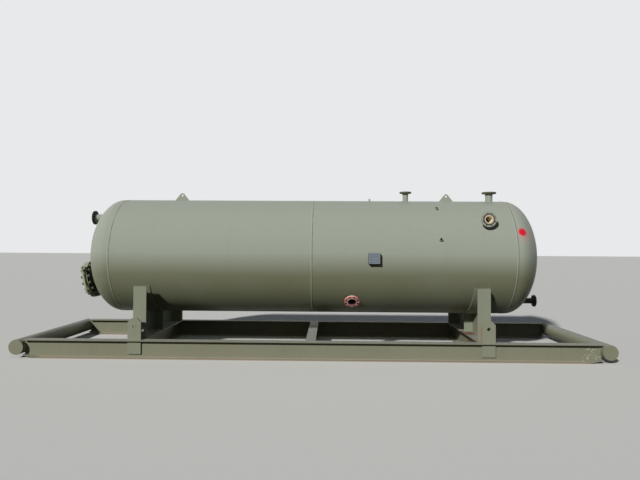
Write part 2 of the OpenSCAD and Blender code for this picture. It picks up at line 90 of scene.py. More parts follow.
# The tank's lower faces take the darker olive and its upper faces the paler grey: partly bleached
# paint, partly painted shade.
TANK_PAINT_AND_SHADE = paint_chip(123, 126, 100)
TANK_FADE = paint_chip(159, 166, 153)
# Darker paint on the drain nozzle, a painted shade of the tank's shadow.
DRAIN_PAINTED_SHADE = paint_chip(80, 86, 76)
# Dark green standing in for shade: on the manway's neck, on the faces of its flange and cover
# toward the tank, and on the left head nozzle's flange.
PAINTED_SHADE_GREEN = paint_chip(50, 55, 45)
FLANGE_BROWN = paint_chip(96, 94, 78)
# Dark brown for the ring round a raised face and for the painted shade of bolt holes.
FLANGE_DARK = paint_chip(52, 47, 36)
# Near black: the couplings' dark thread, and painted shade in their bores and on the nameplate
# bracket.
SHADE_AND_THREAD_DARK = paint_chip(40, 40, 36)
PALE_DUST = paint_chip(186, 184, 168)
RUST = paint_chip(118, 72, 44)
EDGE_RUST = paint_chip(112, 70, 46)
RED_SPRAY = paint_chip(222, 38, 58)
PINK_MIST = paint_chip(214, 150, 150)
SPLASH_WHITE = paint_chip(248, 248, 240)
BRONZE = paint_chip(226, 213, 184)
# A near white bore: light bare metal and a painted sunlit highlight.
BORE_CREAM_AND_PAINTED_LIGHT = paint_chip(252, 242, 218)
SALMON = paint_chip(232, 164, 158)
MAROON = paint_chip(84, 28, 30)
# Black for the painted shade inside the primed nozzle's bore.
BORE_SHADE_BLACK = paint_chip(30, 18, 17)
PALE_PRIMER = paint_chip(250, 236, 228)
PAINT_SPECULAR = 0.12
PLAIN_SPECULAR = 0.5
BEAD_CORE = 0.82
RIPPLE_FLATNESS = 0.62
RIPPLE_SMALLEST = 0.9
RIPPLE_LARGEST = 1.12
WASHER_REACH = 0.93
WASHER_RISE = 1.12
RIVET_FLATNESS = 0.5
NEARLY_UPRIGHT = 0.9


class Body(Enum):
    """Bodies that pieces ride on."""

    ROOT = "root"


class Slot(Enum):
    """Material slots of the record."""

    TANK = "tank_paint"
    SADDLE = "saddle_paint"
    SKID = "skid_paint"
    STEEL = "bare_steel"


class Side(Enum):
    """The two ends of the tank, as signs along X."""

    LEFT = -1
    RIGHT = 1

    @property
    def word(self) -> str:
        """Returns the side as the nodes' names say it."""
        return self.name.lower()


@dataclass
class Canvas:
    """Adds nodes to one tree and wires them."""

    tree: bpy.types.NodeTree

    def node(self, kind: str, values: dict | None = None, **props: object) -> bpy.types.Node:
        """Adds a node.

        Args:
            kind: The node's type name.
            values: Input name or index to a socket or a plain value.
            props: Properties set on the node itself.

        Returns:
            The new node.
        """
        made = self.tree.nodes.new(kind)
        for name, value in props.items():
            setattr(made, name, value)
        for name, value in (values or {}).items():
            self.feed(made.inputs[name], value)
        return made

    def feed(self, socket: Socket, value: object) -> None:
        """Links a socket to an output, or sets its plain value.

        Args:
            socket: The input to fill.
            value: An output, a number, a Vector or a colour.
        """
        if isinstance(value, Socket):
            self.tree.links.new(value, socket)
        elif socket.type == "RGBA" and len(value) == 3:
            socket.default_value = (*value, 1.0)
        else:
            socket.default_value = value

    def math(self, operation: str, first: object, second: object = 0.0) -> Socket:
        """Adds a Math node and returns its result."""
        return self.node("ShaderNodeMath", {0: first, 1: second}, operation=operation).outputs[0]

    def product(self, first: object, *others: object) -> Socket:
        """Multiplies values in turn.

        Args:
            first: The first value.
            others: The values that it is multiplied by.

        Returns:
            The product.
        """
        for other in others:
            first = self.math("MULTIPLY", first, other)
        return first

    def _vectors(self, operation: str, first: object, second: object) -> Sockets:
        """Adds a Vector Math node and returns its outputs."""
        return self.node("ShaderNodeVectorMath", {0: first, 1: second},
                         operation=operation).outputs

    def vector(self, operation: str, first: object, second: object) -> Socket:
        """Adds a Vector Math node and returns its vector."""
        return self._vectors(operation, first, second)[0]

    def measure(self, operation: str, first: object, second: object = (0, 0, 0)) -> Socket:
        """Adds a Vector Math node and returns its number, such as a length."""
        return self._vectors(operation, first, second)["Value"]

    def part(self, vector: object, axis: str) -> Socket:
        """Returns a vector's part along X, Y or Z."""
        return self.node("ShaderNodeSeparateXYZ", {0: vector}).outputs[axis]

    def facing(self) -> Socket:
        """Returns the surface's normal."""
        return self.node("ShaderNodeNewGeometry").outputs["Normal"]

    def blend(self, factor: object, first: object, second: object) -> Socket:
        """Mixes two colours and returns the result."""
        return self.node("ShaderNodeMix", {0: factor, 6: first, 7: second},
                         data_type="RGBA").outputs[2]

    def spread(self, value: object, low: float, high: float, start: float = 0.0,
               end: float = 1.0) -> Socket:
        """Maps a value from one range to another, clamped.

        Args:
            value: The value to map.
            low, high: The range it comes from.
            start, end: The range it goes to.

        Returns:
            The mapped value.
        """
        return self.node("ShaderNodeMapRange", {
            "Value": value, "From Min": low, "From Max": high, "To Min": start,
            "To Max": end}).outputs[0]

    def noise(self, vector: object, scale: object, detail: float = 4.0,
              roughness: float = 0.55) -> Socket:
        """Adds a noise texture and returns its value."""
        return self.node("ShaderNodeTexNoise", {
            "Vector": vector, "Scale": scale, "Detail": detail,
            "Roughness": roughness}).outputs["Fac"]

    def bump(self, height: object, distance: object, strength: float = 1.0,
             **under: Socket) -> Socket:
        """Adds a Bump node, over a Normal if one is given, and returns its normal."""
        return self.node("ShaderNodeBump", {"Height": height, "Distance": distance,
                                            "Strength": strength, **under}).outputs[0]

    def join(self, *parts: Socket) -> Socket:
        """Joins geometry.

        Args:
            parts: The parts in order.

        Returns:
            The joined geometry.
        """
        made = self.node("GeometryNodeJoinGeometry")
        for part in parts:
            self.tree.links.new(part, made.inputs[0])
        return made.outputs[0]


def add_inputs(tree: bpy.types.NodeTree, inputs: dict[str, object]) -> dict[str, str]:
    """Adds inputs to a tree's interface, each of the kind of its default.

    Args:
        tree: The tree.
        inputs: Input name to a number, a Vector, a colour, or None for a material.

    Returns:
        Input name to the identifier of its socket.
    """
    kinds = {float: "Float", int: "Int", Vector: "Vector", tuple: "Color", type(None): "Material"}
    ids: dict[str, str] = {}
    for name, default in inputs.items():
        item = tree.interface.new_socket(name=name, in_out="INPUT",
                                         socket_type="NodeSocket" + kinds[type(default)])
        if default is not None:
            item.default_value = (*default, 1.0) if isinstance(default, tuple) else default
        ids[name] = item.identifier
    return ids


@dataclass
class Effects:
    """Shader groups that more than one finish uses, each built once."""

    groups: dict[str, bpy.types.NodeTree] = field(default_factory=dict)

    def __post_init__(self) -> None:
        """Builds every group."""
        for build in (self.edge_wear, self.weathered_paint, self.spray_skin, self.spray_mark,
                      self.ground_dirt, self.specks, self.axis_distance, self.seam_grime,
                      self.bolt_stain):
            build()

    def start(self, name: str, inputs: dict[str, object],
              **outputs: str) -> tuple[Canvas, Sockets, Sockets]:
        """Starts a group that reads a place on the surface as Vector.

        Args:
            name: The group's name.
            inputs: Its other inputs and their defaults.
            outputs: Output name to Float, Color or Vector.

        Returns:
            The canvas, the inputs as sockets to read, and the outputs as sockets to fill.
        """
        tree = bpy.data.node_groups.new(name, "ShaderNodeTree")
        self.groups[name] = tree
        add_inputs(tree, {"Vector": Vector((0, 0, 0)), **inputs})
        for key, kind in outputs.items():
            tree.interface.new_socket(name=key, in_out="OUTPUT", socket_type="NodeSocket" + kind)
        canvas = Canvas(tree)
        return canvas, canvas.node("NodeGroupInput").outputs, canvas.node("NodeGroupOutput").inputs

    def edge_wear(self) -> None:
        """Builds a mask of worn paint along sharp edges."""
        canvas, given, out = self.start("edge_wear", {"Width": 0.004, "Amount": 0.5}, Mask="Float")
        rounded = canvas.node("ShaderNodeBevel", {"Radius": given["Width"]}, samples=4).outputs[0]
        close = canvas.measure("DOT_PRODUCT", rounded, canvas.facing())
        edge = canvas.spread(canvas.math("SUBTRACT", 1.0, close), 0.02, 0.22)
        broken = canvas.spread(canvas.noise(given["Vector"], 26.0, 6.0, 0.7), 0.46, 0.62)
        canvas.feed(out["Mask"], canvas.product(edge, broken, given["Amount"]))

    def weathered_paint(self) -> None:
        """Builds faded paint: upper faces paler and lower faces darker, partly bleaching and partly
        painted shade, with broad tone changes, runs and dust.
        """
        canvas, given, out = self.start("weathered_paint", {
            "Paint": (0.3, 0.3, 0.3), "Fade": (0.4, 0.4, 0.4), "Dust": (0.5, 0.5, 0.45),
            "Stain": (0.1, 0.1, 0.08), "Dusting": 0.4, "Running": 0.3, "Patchiness": 0.55,
            "Bleaching": 0.0}, Colour="Color", Shade="Float")
        where = given["Vector"]
        upward = canvas.part(canvas.facing(), "Z")
        # Faces turned down keep the darker Paint colour: part bleaching of the upper faces, part
        # painted shade on the lower ones.
        bleach_and_shade_mask = canvas.product(canvas.spread(upward, -0.34, 0.06), given["Bleaching"])
        broad = canvas.spread(canvas.noise(where, 0.9, 3.0, 0.5), 0.35, 0.68)
        faded = canvas.math("MAXIMUM", canvas.product(broad, given["Patchiness"]), bleach_and_shade_mask)
        tone = canvas.blend(faded, given["Paint"], given["Fade"])
        long = canvas.vector("MULTIPLY", where, (7.0, 7.0, 0.45))
        wide_runs = canvas.spread(canvas.noise(long, 1.0, 6.0, 0.6), 0.52, 0.74)
        fine = canvas.vector("MULTIPLY", where, (34.0, 34.0, 1.3))
        thin_runs = canvas.spread(canvas.noise(fine, 1.0, 3.0, 0.5), 0.56, 0.72)
        runs = canvas.product(canvas.math("MAXIMUM", wide_runs, canvas.product(thin_runs, 0.6)),
                              given["Running"])
        tone = canvas.blend(runs, tone, given["Stain"])
        patchy = canvas.spread(canvas.noise(where, 6.0, 7.0, 0.65), 0.3, 0.75, 0.35, 1.0)
        dusty = canvas.product(canvas.spread(upward, 0.45, 1.0), patchy, given["Dusting"])
        canvas.feed(out["Colour"], canvas.blend(dusty, tone, given["Dust"]))
        canvas.feed(out["Shade"], canvas.math("MAXIMUM", dusty, runs))

    def spray_skin(self) -> None:
        """Builds the faint dimpled surface of sprayed paint over rolled plate."""
        canvas, given, out = self.start("spray_skin", {
            "Grain": 190.0, "Height": 0.0006, "Wave": 0.004}, Normal="Vector")
        grain = canvas.noise(given["Vector"], given["Grain"], 2.0, 0.5)
        wave = canvas.noise(given["Vector"], 1.7, 2.0, 0.45)
        broad = canvas.bump(wave, given["Wave"])
        canvas.feed(out["Normal"], canvas.bump(grain, given["Height"], Normal=broad))

    def spray_mark(self) -> None:
        """Builds a round sprayed dot with a soft halo."""
        canvas, given, out = self.start("spray_mark", {
            "Centre": Vector((0, 0, 0)), "Radius": 0.06}, Dot="Float", Halo="Float")
        away = canvas.measure("DISTANCE", given["Vector"], given["Centre"])
        uneven = canvas.spread(canvas.noise(given["Vector"], 40.0, 3.0), 0.0, 1.0, -0.14, 0.14)
        reach = canvas.math("ADD", canvas.math("DIVIDE", away, given["Radius"]), uneven)
        canvas.feed(out["Dot"], canvas.spread(reach, 1.12, 0.84))
        canvas.feed(out["Halo"], canvas.math("POWER", canvas.spread(reach, 1.9, 0.9), 2.0))

    def ground_dirt(self) -> None:
        """Builds splashed dirt that thins out above the ground."""
        canvas, given, out = self.start("ground_dirt", {"Reach": 0.1, "Amount": 0.6}, Mask="Float")
        ragged = canvas.product(canvas.noise(given["Vector"], 14.0, 7.0, 0.7), 1.9)
        top = canvas.product(given["Reach"], ragged)
        close = canvas.math("DIVIDE", canvas.part(given["Vector"], "Z"), top)
        canvas.feed(out["Mask"], canvas.product(canvas.spread(close, 1.0, 0.15), given["Amount"]))

    def specks(self) -> None:
        """Builds scattered specks of a given size inside a round area."""
        canvas, given, out = self.start("specks", {
            "Centre": Vector((0, 0, 0)), "Spread": 0.3, "Fineness": 60.0, "Fill": 0.3},
            Mask="Float")
        cells = canvas.node("ShaderNodeTexVoronoi", {
            "Vector": given["Vector"], "Scale": given["Fineness"]}).outputs
        pick = canvas.node("ShaderNodeSeparateColor", {0: cells["Color"]}).outputs[0]
        away = canvas.measure("DISTANCE", given["Vector"], given["Centre"])
        inside = canvas.spread(canvas.math("DIVIDE", away, given["Spread"]), 1.0, 0.2)
        chosen = canvas.math("LESS_THAN", pick, canvas.product(inside, given["Fill"]))
        blob = canvas.spread(cells["Distance"], 0.42, 0.30)
        canvas.feed(out["Mask"], canvas.product(blob, chosen))

    def axis_distance(self) -> None:
        """Builds the distance of a point from an axis, and its place along that axis."""
        canvas, given, out = self.start("axis_distance", {
            "Centre": Vector((0, 0, 0)), "Axis": Vector((0, 0, 1))}, Radius="Float", Along="Float")
        offset = canvas.vector("SUBTRACT", given["Vector"], given["Centre"])
        across = canvas.vector("CROSS_PRODUCT", offset, given["Axis"])
        canvas.feed(out["Radius"], canvas.measure("LENGTH", across))
        canvas.feed(out["Along"], canvas.measure("DOT_PRODUCT", offset, given["Axis"]))

    def seam_grime(self) -> None:
        """Builds a broken dark line beside a weld that runs round the tank: a painted shadow of the
        weld bead.
        """
        canvas, given, out = self.start("seam_grime", {"Place": 0.0, "Width": 0.008}, Mask="Float")
        away = canvas.math("ABSOLUTE", canvas.math(
            "SUBTRACT", canvas.part(given["Vector"], "X"), given["Place"]))
        band = canvas.spread(canvas.math("DIVIDE", away, given["Width"]), 1.3, 0.7)
        stretched = canvas.vector("MULTIPLY", given["Vector"], (2.0, 9.0, 9.0))
        broken = canvas.spread(canvas.noise(stretched, 1.0, 5.0, 0.65), 0.36, 0.6, 0.35, 1.0)
        canvas.feed(out["Mask"], canvas.product(band, broken))

    def bolt_stain(self) -> None:
        """Builds the dark spots round the bolt holes of a flange, a painted shade of the holes."""
        canvas, given, out = self.start("bolt_stain", {
            "Centre": Vector((0, 0, 0)), "First": Vector((1, 0, 0)), "Second": Vector((0, 1, 0)),
            "HalfStep": 0.4, "Circle": 0.095, "Spot": 0.0125}, Mask="Float")
        offset = canvas.vector("SUBTRACT", given["Vector"], given["Centre"])
        first, second = (canvas.measure("DOT_PRODUCT", offset, given[way])
                         for way in ("First", "Second"))
        turn = canvas.math("ARCTAN2", second, first)
        from_hole = canvas.node("ShaderNodeMath", {
            0: turn, 1: given["HalfStep"], 2: canvas.product(given["HalfStep"], -1.0)},
            operation="WRAP").outputs[0]
        radius = canvas.measure("LENGTH", canvas.node("ShaderNodeCombineXYZ", {
            0: first, 1: second}).outputs[0])
        sideways = canvas.product(radius, canvas.math("SINE", from_hole))
        outward = canvas.math("SUBTRACT", canvas.product(
            radius, canvas.math("COSINE", from_hole)), given["Circle"])
        apart = canvas.measure("LENGTH", canvas.node("ShaderNodeCombineXYZ", {
            0: sideways, 1: outward}).outputs[0])
        spots = canvas.spread(canvas.math("DIVIDE", apart, given["Spot"]), 1.1, 0.85)
        canvas.feed(out["Mask"], spots)


def blank_material(name: str, specular: float) -> tuple[bpy.types.Material, Canvas, Sockets]:
    """Starts a material.

    Args:
        name: The material's name.
        specular: The strength of its plain reflection.

    Returns:
        The material, its canvas and its shader's inputs.
    """
    material = bpy.data.materials.new(name)
    material.use_nodes = True
    inputs = material.node_tree.nodes["Principled BSDF"].inputs
    inputs["Specular IOR Level"].default_value = specular
    return material, Canvas(material.node_tree), inputs


@dataclass(frozen=True)
class Dot:
    """A round mark."""

    centre: Vector
    radius: float
    colour: Colour


@dataclass
class Surface:
    """A finish in the making: its material, its canvas and the place of each point."""

    name: str
    effects: Effects
    specular: float = PLAIN_SPECULAR
    material: bpy.types.Material = field(init=False)
    canvas: Canvas = field(init=False)
    inputs: Sockets = field(init=False)
    where: Socket = field(init=False)

    def __post_init__(self) -> None:
        """Starts the material."""
        self.material, self.canvas, self.inputs = blank_material(self.name, self.specular)
        self.where = self.canvas.node("ShaderNodeTexCoord").outputs["Object"]

    def effect(self, name: str, **values: object) -> Sockets:
        """Places a shared group.

        Args:
            name: The group's name.
            values: Its inputs by name.

        Returns:
            Its outputs.
        """
        return self.canvas.node("ShaderNodeGroup", {"Vector": self.where, **values},
                                node_tree=self.effects.groups[name]).outputs

    def spot(self, mark: Dot) -> Sockets:
        """Places a round mark and returns its Dot and its Halo."""
        return self.effect("spray_mark", Centre=mark.centre, Radius=mark.radius)

    def feed(self, name: str, value: object) -> None:
        """Fills one of the shader's inputs."""
        self.canvas.feed(self.inputs[name], value)


@dataclass(frozen=True)
class PaintFinish:
    """Sprayed paint that has weathered outdoors."""

    name: str
    paint: Colour
    fade: Colour
    dust: Colour = PALE_DUST
    stain: Colour = paint_chip(104, 98, 78)
    soil: Colour = paint_chip(171, 152, 132)
    grime: Colour = paint_chip(78, 76, 62)
    grime_strength: float = 0.6
    roughness: float = 0.44
    dull_roughness: float = 0.79
    dusting: float = 0.35
    running: float = 0.16
    patchiness: float = 0.55
    # Share of upward faces that take the fade colour while lower faces stay darker: bleaching and
    # painted shade.
    bleaching: float = 0.0
    wear: float = 0.5
    wear_width: float = 0.004
    dirt_reach: float = 0.0
    dirt_strength: float = 0.75
    wave: float = 0.004
    dot: Dot | None = None
    halo_strength: float = 0.34
    overspray: Dot | None = None
    mist_strength: float = 0.3
    splash: Dot | None = None
    speck_fineness: float = 86.0
    speck_fill: float = 0.25
    rust_patch: Dot | None = None
    # Places along X of the painted shadow lines beside the girth welds.
    seams: tuple[float, ...] = ()
    # Colour painted on faces toward +X, as painted shade.
    back: Colour | None = None

    def build(self, effects: Effects) -> bpy.types.Material:
        """Makes the material.

        Args:
            effects: The shared shader groups.

        Returns:
            The finished material.
        """
        surface = Surface(self.name, effects, PAINT_SPECULAR)
        canvas = surface.canvas
        weather = surface.effect(
            "weathered_paint", Paint=self.paint, Fade=self.fade, Dust=self.dust,
            Stain=self.stain, Dusting=self.dusting, Running=self.running,
            Patchiness=self.patchiness, Bleaching=self.bleaching)
        rough = canvas.spread(weather["Shade"], 0.0, 1.0, self.roughness, self.dull_roughness)
        layers: list[tuple[Socket, Colour]] = []
        # Faces toward +X take the back colour, a painted shade.
        if self.back:
            toward = canvas.part(canvas.facing(), "X")
            layers.append((canvas.spread(toward, 0.3, 0.6), self.back))
        if self.dirt_reach:
            dirt = surface.effect("ground_dirt", Reach=self.dirt_reach,
                                  Amount=self.dirt_strength)["Mask"]
            layers.append((dirt, self.soil))
            rough = canvas.math("MAXIMUM", rough, dirt)
        # A painted shadow beside each girth weld, on the side away from the light.
        for place in self.seams:
            seam_shadow_mask = surface.effect("seam_grime", Place=place)["Mask"]
            layers.append((canvas.product(seam_shadow_mask, self.grime_strength), self.grime))
        if self.rust_patch:
            broken = canvas.spread(canvas.noise(surface.where, 18.0, 8.0, 0.7), 0.36, 0.56)
            layers.append((canvas.product(surface.spot(self.rust_patch)["Halo"], broken),
                           self.rust_patch.colour))
        if self.splash:
            specks = surface.effect(
                "specks", Centre=self.splash.centre, Spread=self.splash.radius,
                Fineness=self.speck_fineness, Fill=self.speck_fill)
            layers.append((specks["Mask"], self.splash.colour))
        if self.overspray:
            cloud = surface.spot(self.overspray)["Halo"]
            layers.append((canvas.product(cloud, self.mist_strength), self.overspray.colour))
        if self.dot:
            mark = surface.spot(self.dot)
            layers += [(canvas.product(mark["Halo"], self.halo_strength), self.dot.colour),
                       (mark["Dot"], self.dot.colour)]
        worn = surface.effect("edge_wear", Width=self.wear_width, Amount=self.wear)
        layers.append((worn["Mask"], EDGE_RUST))
        colour = weather["Colour"]
        for mask, over in layers:
            colour = canvas.blend(mask, colour, over)
        surface.feed("Base Color", colour)
        surface.feed("Roughness", rough)
        surface.feed("Normal", surface.effect("spray_skin", Wave=self.wave)["Normal"])
        return surface.material


@dataclass(frozen=True)
class FlangeSize:
    """Sizes of an outlet: its pipe, bore and raised face, and its disc and bolt holes."""

    pipe_r: float
    bore_r: float
    face_r: float
    circle_r: float = 0.0
    holes: int = 0
    disc_t: float = 0.0258


class Size(Enum):
    """The sizes of outlets that the tank has."""

    LARGE = FlangeSize(0.05715, 0.05115, 0.0786, 0.09525, 8)
    SMALL = FlangeSize(0.04445, 0.03895, 0.0635, 0.0762, 4)
    COUPLING = FlangeSize(0.0225, 0.0165, 0.0165)
    VENT = FlangeSize(0.015, 0.0105, 0.0105)


@dataclass(frozen=True)
class FaceLook:
    """How an outlet's face, bore and bolt holes look. A radius of None follows its size."""

    face: Colour
    bore: Colour
    rim: Colour
    mottle: Colour
    mottling: float
    # Colour, size and strength of the painted shade round the bolt holes.
    stain: Colour = FLANGE_DARK
    stain_r: float = 0.0115
    stain_strength: float = 0.75
    rim_strength: float = 0.35
    mottle_scale: float = 55.0
    outline_strength: float = 0.85
    shine: float = 0.33
    bare_r: float | None = None
    dark_r: float | None = None


class Look(Enum):
    """Machined faces with a painted highlight in the bore, the primed nozzle with painted shade in
    its bore, and the painted couplings with a dark thread and painted shade in the bore.
    """

    MACHINED = FaceLook(BRONZE, BORE_CREAM_AND_PAINTED_LIGHT, RUST, RUST, 0.2)
    # The primed nozzle's bore is painted black out past the bore itself, as painted shade.
    PRIMED = FaceLook(SALMON, BORE_SHADE_BLACK, MAROON, PALE_PRIMER, 0.85, stain=MAROON, stain_r=0.0155,
                      stain_strength=0.95, rim_strength=1.0, mottle_scale=26.0,
                      outline_strength=0.0, shine=0.0, bare_r=0.2, dark_r=0.0625)
    # The couplings' bores take the near black: dark thread and painted shade.
    THREADED = FaceLook(TANK_FADE, SHADE_AND_THREAD_DARK, EDGE_RUST, EDGE_RUST, 0.0,
                        outline_strength=0.0, shine=0.0, bare_r=0.0)


@dataclass(frozen=True)
class Outlet:
    """A nozzle or coupling: its node, axis, size, looks and the surface that it leaves."""

    name: str
    origin: Vector
    way: Vector
    size: Size
    reach: Reach
    look: Look = Look.MACHINED
    paint: Colour = TANK_FADE
    disc: Colour | None = None
    path_steps: int = 72
    hole_reach: float = 0.0105

    def face_centre(self, node: bpy.types.Object) -> Vector:
        """Returns the middle of the outlet's face, the farthest point along its axis."""
        reach = max((vertex.co - self.origin).dot(self.way) for vertex in node.data.vertices)
        return self.origin + self.way * reach

    def first_hole(self, node: bpy.types.Object) -> Vector:
        """Finds the direction from the outlet's axis to one of its bolt holes.

        Args:
            node: The outlet's CAD node.

        Returns:
            A unit vector across the outlet.
        """
        centre, size = self.face_centre(node), self.size.value
        first = self.way.orthogonal().normalized()
        second = self.way.cross(first)
        # Raised to the number of holes, the directions of all holes fall on one.
        lean = 0j
        for vertex in node.data.vertices:
            offset = vertex.co - centre
            across = complex(offset.dot(first), offset.dot(second))
            if abs(abs(across) - size.circle_r) < self.hole_reach:
                lean += (across / abs(across)) ** size.holes
        turn = math.atan2(lean.imag, lean.real) / size.holes
        return first * math.cos(turn) + second * math.sin(turn)


@dataclass(frozen=True)
class OutletFinish:
    """A painted outlet with its face and its bore left unpainted."""

    outlet: Outlet
    node: bpy.types.Object
    roughness: float = 0.5
    dull_roughness: float = 0.75
    dusting: float = 0.15
    running: float = 0.06
    edge: float = 0.003
    raggedness: float = 0.005
    step_tolerance: float = 0.0012
    pipe_margin: float = 0.002
    front_depth: float = 0.012
    bore_soiling: float = 0.08
    outline_start: float = 0.0135
    outline_full: float = 0.0085
    grain_depth: float = 0.0004
    groove_pitch: float = 7800.0
    groove_depth: float = 0.0004
    groove_strength: float = 0.6

    @property
    def name(self) -> str:
        """Returns the material's name."""
        return self.outlet.name + "_finish"

    def build(self, effects: Effects) -> bpy.types.Material:
        """Makes the material.

        Args:
            effects: The shared shader groups.

        Returns:
            The finished material.
        """
        surface = Surface(self.name, effects, PAINT_SPECULAR)
        canvas, where = surface.canvas, surface.where
        outlet, size, look = self.outlet, self.outlet.size.value, self.outlet.look.value
        bare_r = size.face_r if look.bare_r is None else look.bare_r
        dark_r = size.bore_r if look.dark_r is None else look.dark_r
        centre = outlet.face_centre(self.node)
        ring = surface.effect("axis_distance", Centre=centre, Axis=outlet.way)
        radius, along = ring["Radius"], ring["Along"]
        ragged = canvas.spread(canvas.noise(where, 90.0, 5.0, 0.7), 0.0, 1.0,
                               -self.raggedness, self.raggedness)
        within = canvas.math("LESS_THAN", canvas.math("ADD", radius, ragged), bare_r)
        on_face = canvas.product(canvas.math("GREATER_THAN", along, -self.step_tolerance), within)
        in_front = canvas.math("GREATER_THAN", along, -self.front_depth)
        blotch = canvas.spread(canvas.noise(where, look.mottle_scale, 8.0, 0.7), 0.38, 0.62)
        face = canvas.blend(canvas.product(blotch, look.mottling), look.face, look.mottle)
        bore = canvas.blend(canvas.product(blotch, self.bore_soiling), look.bore, look.rim)
        layers: list[tuple[Socket, object]] = []
        if outlet.disc:
            outer = canvas.math("GREATER_THAN", radius, size.pipe_r + self.pipe_margin)
            near = canvas.math("GREATER_THAN", along, -size.disc_t)
            layers.append((canvas.product(outer, near), outlet.disc))
        worn = surface.effect("edge_wear", Width=self.edge, Amount=look.rim_strength)["Mask"]
        layers += [(worn, look.rim), (on_face, face)]
        if look.outline_strength:
            off_step = canvas.math("ABSOLUTE", canvas.math("SUBTRACT", radius, size.face_r))
            step_line = canvas.spread(off_step, self.outline_start, self.outline_full)
            layers.append((canvas.product(step_line, look.outline_strength, in_front),
                           FLANGE_DARK))
        # Painted shade round each bolt hole.
        if size.holes:
            first = outlet.first_hole(self.node)
            spots = surface.effect(
                "bolt_stain", Centre=centre, First=first, Second=outlet.way.cross(first),
                HalfStep=math.pi / size.holes, Circle=size.circle_r, Spot=look.stain_r)["Mask"]
            layers.append((canvas.product(spots, in_front, look.stain_strength), look.stain))
        # Inside the dark radius, the bore's colour: painted light for machined outlets, painted
        # shade for the others.
        layers.append((canvas.math("LESS_THAN", radius, dark_r + self.step_tolerance), bore))
        colour = surface.effect(
            "weathered_paint", Paint=outlet.paint, Fade=outlet.paint, Dust=PALE_DUST,
            Stain=look.rim, Dusting=self.dusting, Running=self.running)["Colour"]
        for mask, over in layers:
            colour = canvas.blend(mask, colour, over)
        surface.feed("Base Color", colour)
        if look.shine:
            surface.feed("Metallic", canvas.product(on_face, look.shine))
        surface.feed("Roughness", canvas.spread(blotch, 0, 1, self.roughness,
                                                self.dull_roughness))
        grooves = canvas.product(canvas.math("SINE", canvas.product(radius, self.groove_pitch)),
                                 on_face)
        skin = surface.effect("spray_skin", Height=self.grain_depth, Wave=0.0)["Normal"]
        surface.feed("Normal", canvas.bump(grooves, self.groove_depth, self.groove_strength,
                                           Normal=skin))
        return surface.material


@dataclass(frozen=True)
class MetalFinish:
    """Bare or plated steel with fine scratches and some rust."""

    name: str
    metal: Colour
    tarnish: Colour
    roughness: float
    shine: float
    tarnishing: float
    dull_roughness: float = 0.85
    dull_shine: float = 0.1
    scratch_depth: float = 0.0002
    scratch_strength: float = 0.5

    def build(self, effects: Effects) -> bpy.types.Material:
        """Makes the material.

        Args:
            effects: The shared shader groups.

        Returns:
            The finished material.
        """
        surface = Surface(self.name, effects)
        canvas = surface.canvas
        drawn = canvas.vector("MULTIPLY", surface.where, (60.0, 420.0, 420.0))
        scratch = canvas.noise(drawn, 1.0, 2.0, 0.5)
        patch = canvas.spread(canvas.noise(surface.where, 38.0, 8.0, 0.68), 0.42, 0.68)
        rusty = canvas.product(patch, self.tarnishing)
        surface.feed("Base Color", canvas.blend(rusty, self.metal, self.tarnish))
        surface.feed("Metallic", canvas.spread(rusty, 0, 1, self.shine, self.dull_shine))
        surface.feed("Roughness", canvas.spread(rusty, 0, 1, self.roughness, self.dull_roughness))
        surface.feed("Normal", canvas.bump(scratch, self.scratch_depth,
                                           self.scratch_strength))
        return surface.material


Finish = PaintFinish | OutletFinish | MetalFinish


def keep(piece: bpy.types.Object) -> None:
    """Ties a finished piece to the tank's body.

    Args:
        piece: The finished piece.
    """
    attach(piece, Body.ROOT.value)
    LOG.info("%s: %d faces", piece.name, len(piece.data.polygons))


def in_scene(name: str, data: bpy.types.ID) -> bpy.types.Object:
    """Makes an object of a mesh, a lamp or a camera and puts it in the scene.

    Args:
        name: The object's name.
        data: What it shows.

    Returns:
        The object.
    """
    made = bpy.data.objects.new(name, data)
    bpy.context.scene.collection.objects.link(made)
    return made


@dataclass
class GeometryTree:
    """A Geometry Nodes tree with named inputs, whose result is kept as a plain mesh."""

    name: str
    inputs: dict[str, object]
    canvas: Canvas = field(init=False)
    given: Sockets = field(init=False)
    ids: dict[str, str] = field(init=False)

    def __post_init__(self) -> None:
        """Makes the tree's interface."""
        tree = bpy.data.node_groups.new(self.name, "GeometryNodeTree")
        for way in ("INPUT", "OUTPUT"):
            tree.interface.new_socket(name="Geometry", in_out=way,
                                      socket_type="NodeSocketGeometry")
        self.ids = add_inputs(tree, {**self.inputs, "Material": None})
        self.canvas = Canvas(tree)
        self.given = self.canvas.node("NodeGroupInput").outputs

    def finish(self, geometry: Socket) -> None:
        """Realizes the instances, sets the material and closes the tree.

        Args:
            geometry: What the tree has made.
        """
        real = self.canvas.node("GeometryNodeRealizeInstances", {0: geometry}).outputs[0]
        dressed = self.canvas.node("GeometryNodeSetMaterial", {
            "Geometry": real, "Material": self.given["Material"]}).outputs[0]
        self.canvas.node("NodeGroupOutput", {0: dressed})

    def grow(self, seed: bpy.types.Mesh, name: str, slot: Slot, place: Matrix | None = None,
             **values: object) -> None:
        """Runs the tree on a mesh and keeps the result as a plain piece.

        Args:
            seed: The mesh that the tree starts from.
            name: The piece's name.
            slot: The record's material slot; not used.
            place: Where the result goes; None leaves it.
            values: The tree's inputs by name.
        """
        carrier = in_scene(name, seed)
        modifier = carrier.modifiers.new(self.name, "NODES")
        modifier.node_group = self.canvas.tree
        for key, value in values.items():
            modifier[self.ids[key]] = value
        carrier.update_tag()
        bpy.context.view_layer.update()
        grown = bpy.data.meshes.new_from_object(
            carrier.evaluated_get(bpy.context.evaluated_depsgraph_get()))
        carrier.modifiers.clear()
        if place is not None:
            grown.transform(place)
        grown.name = name
        carrier.data = grown
        keep(carrier)


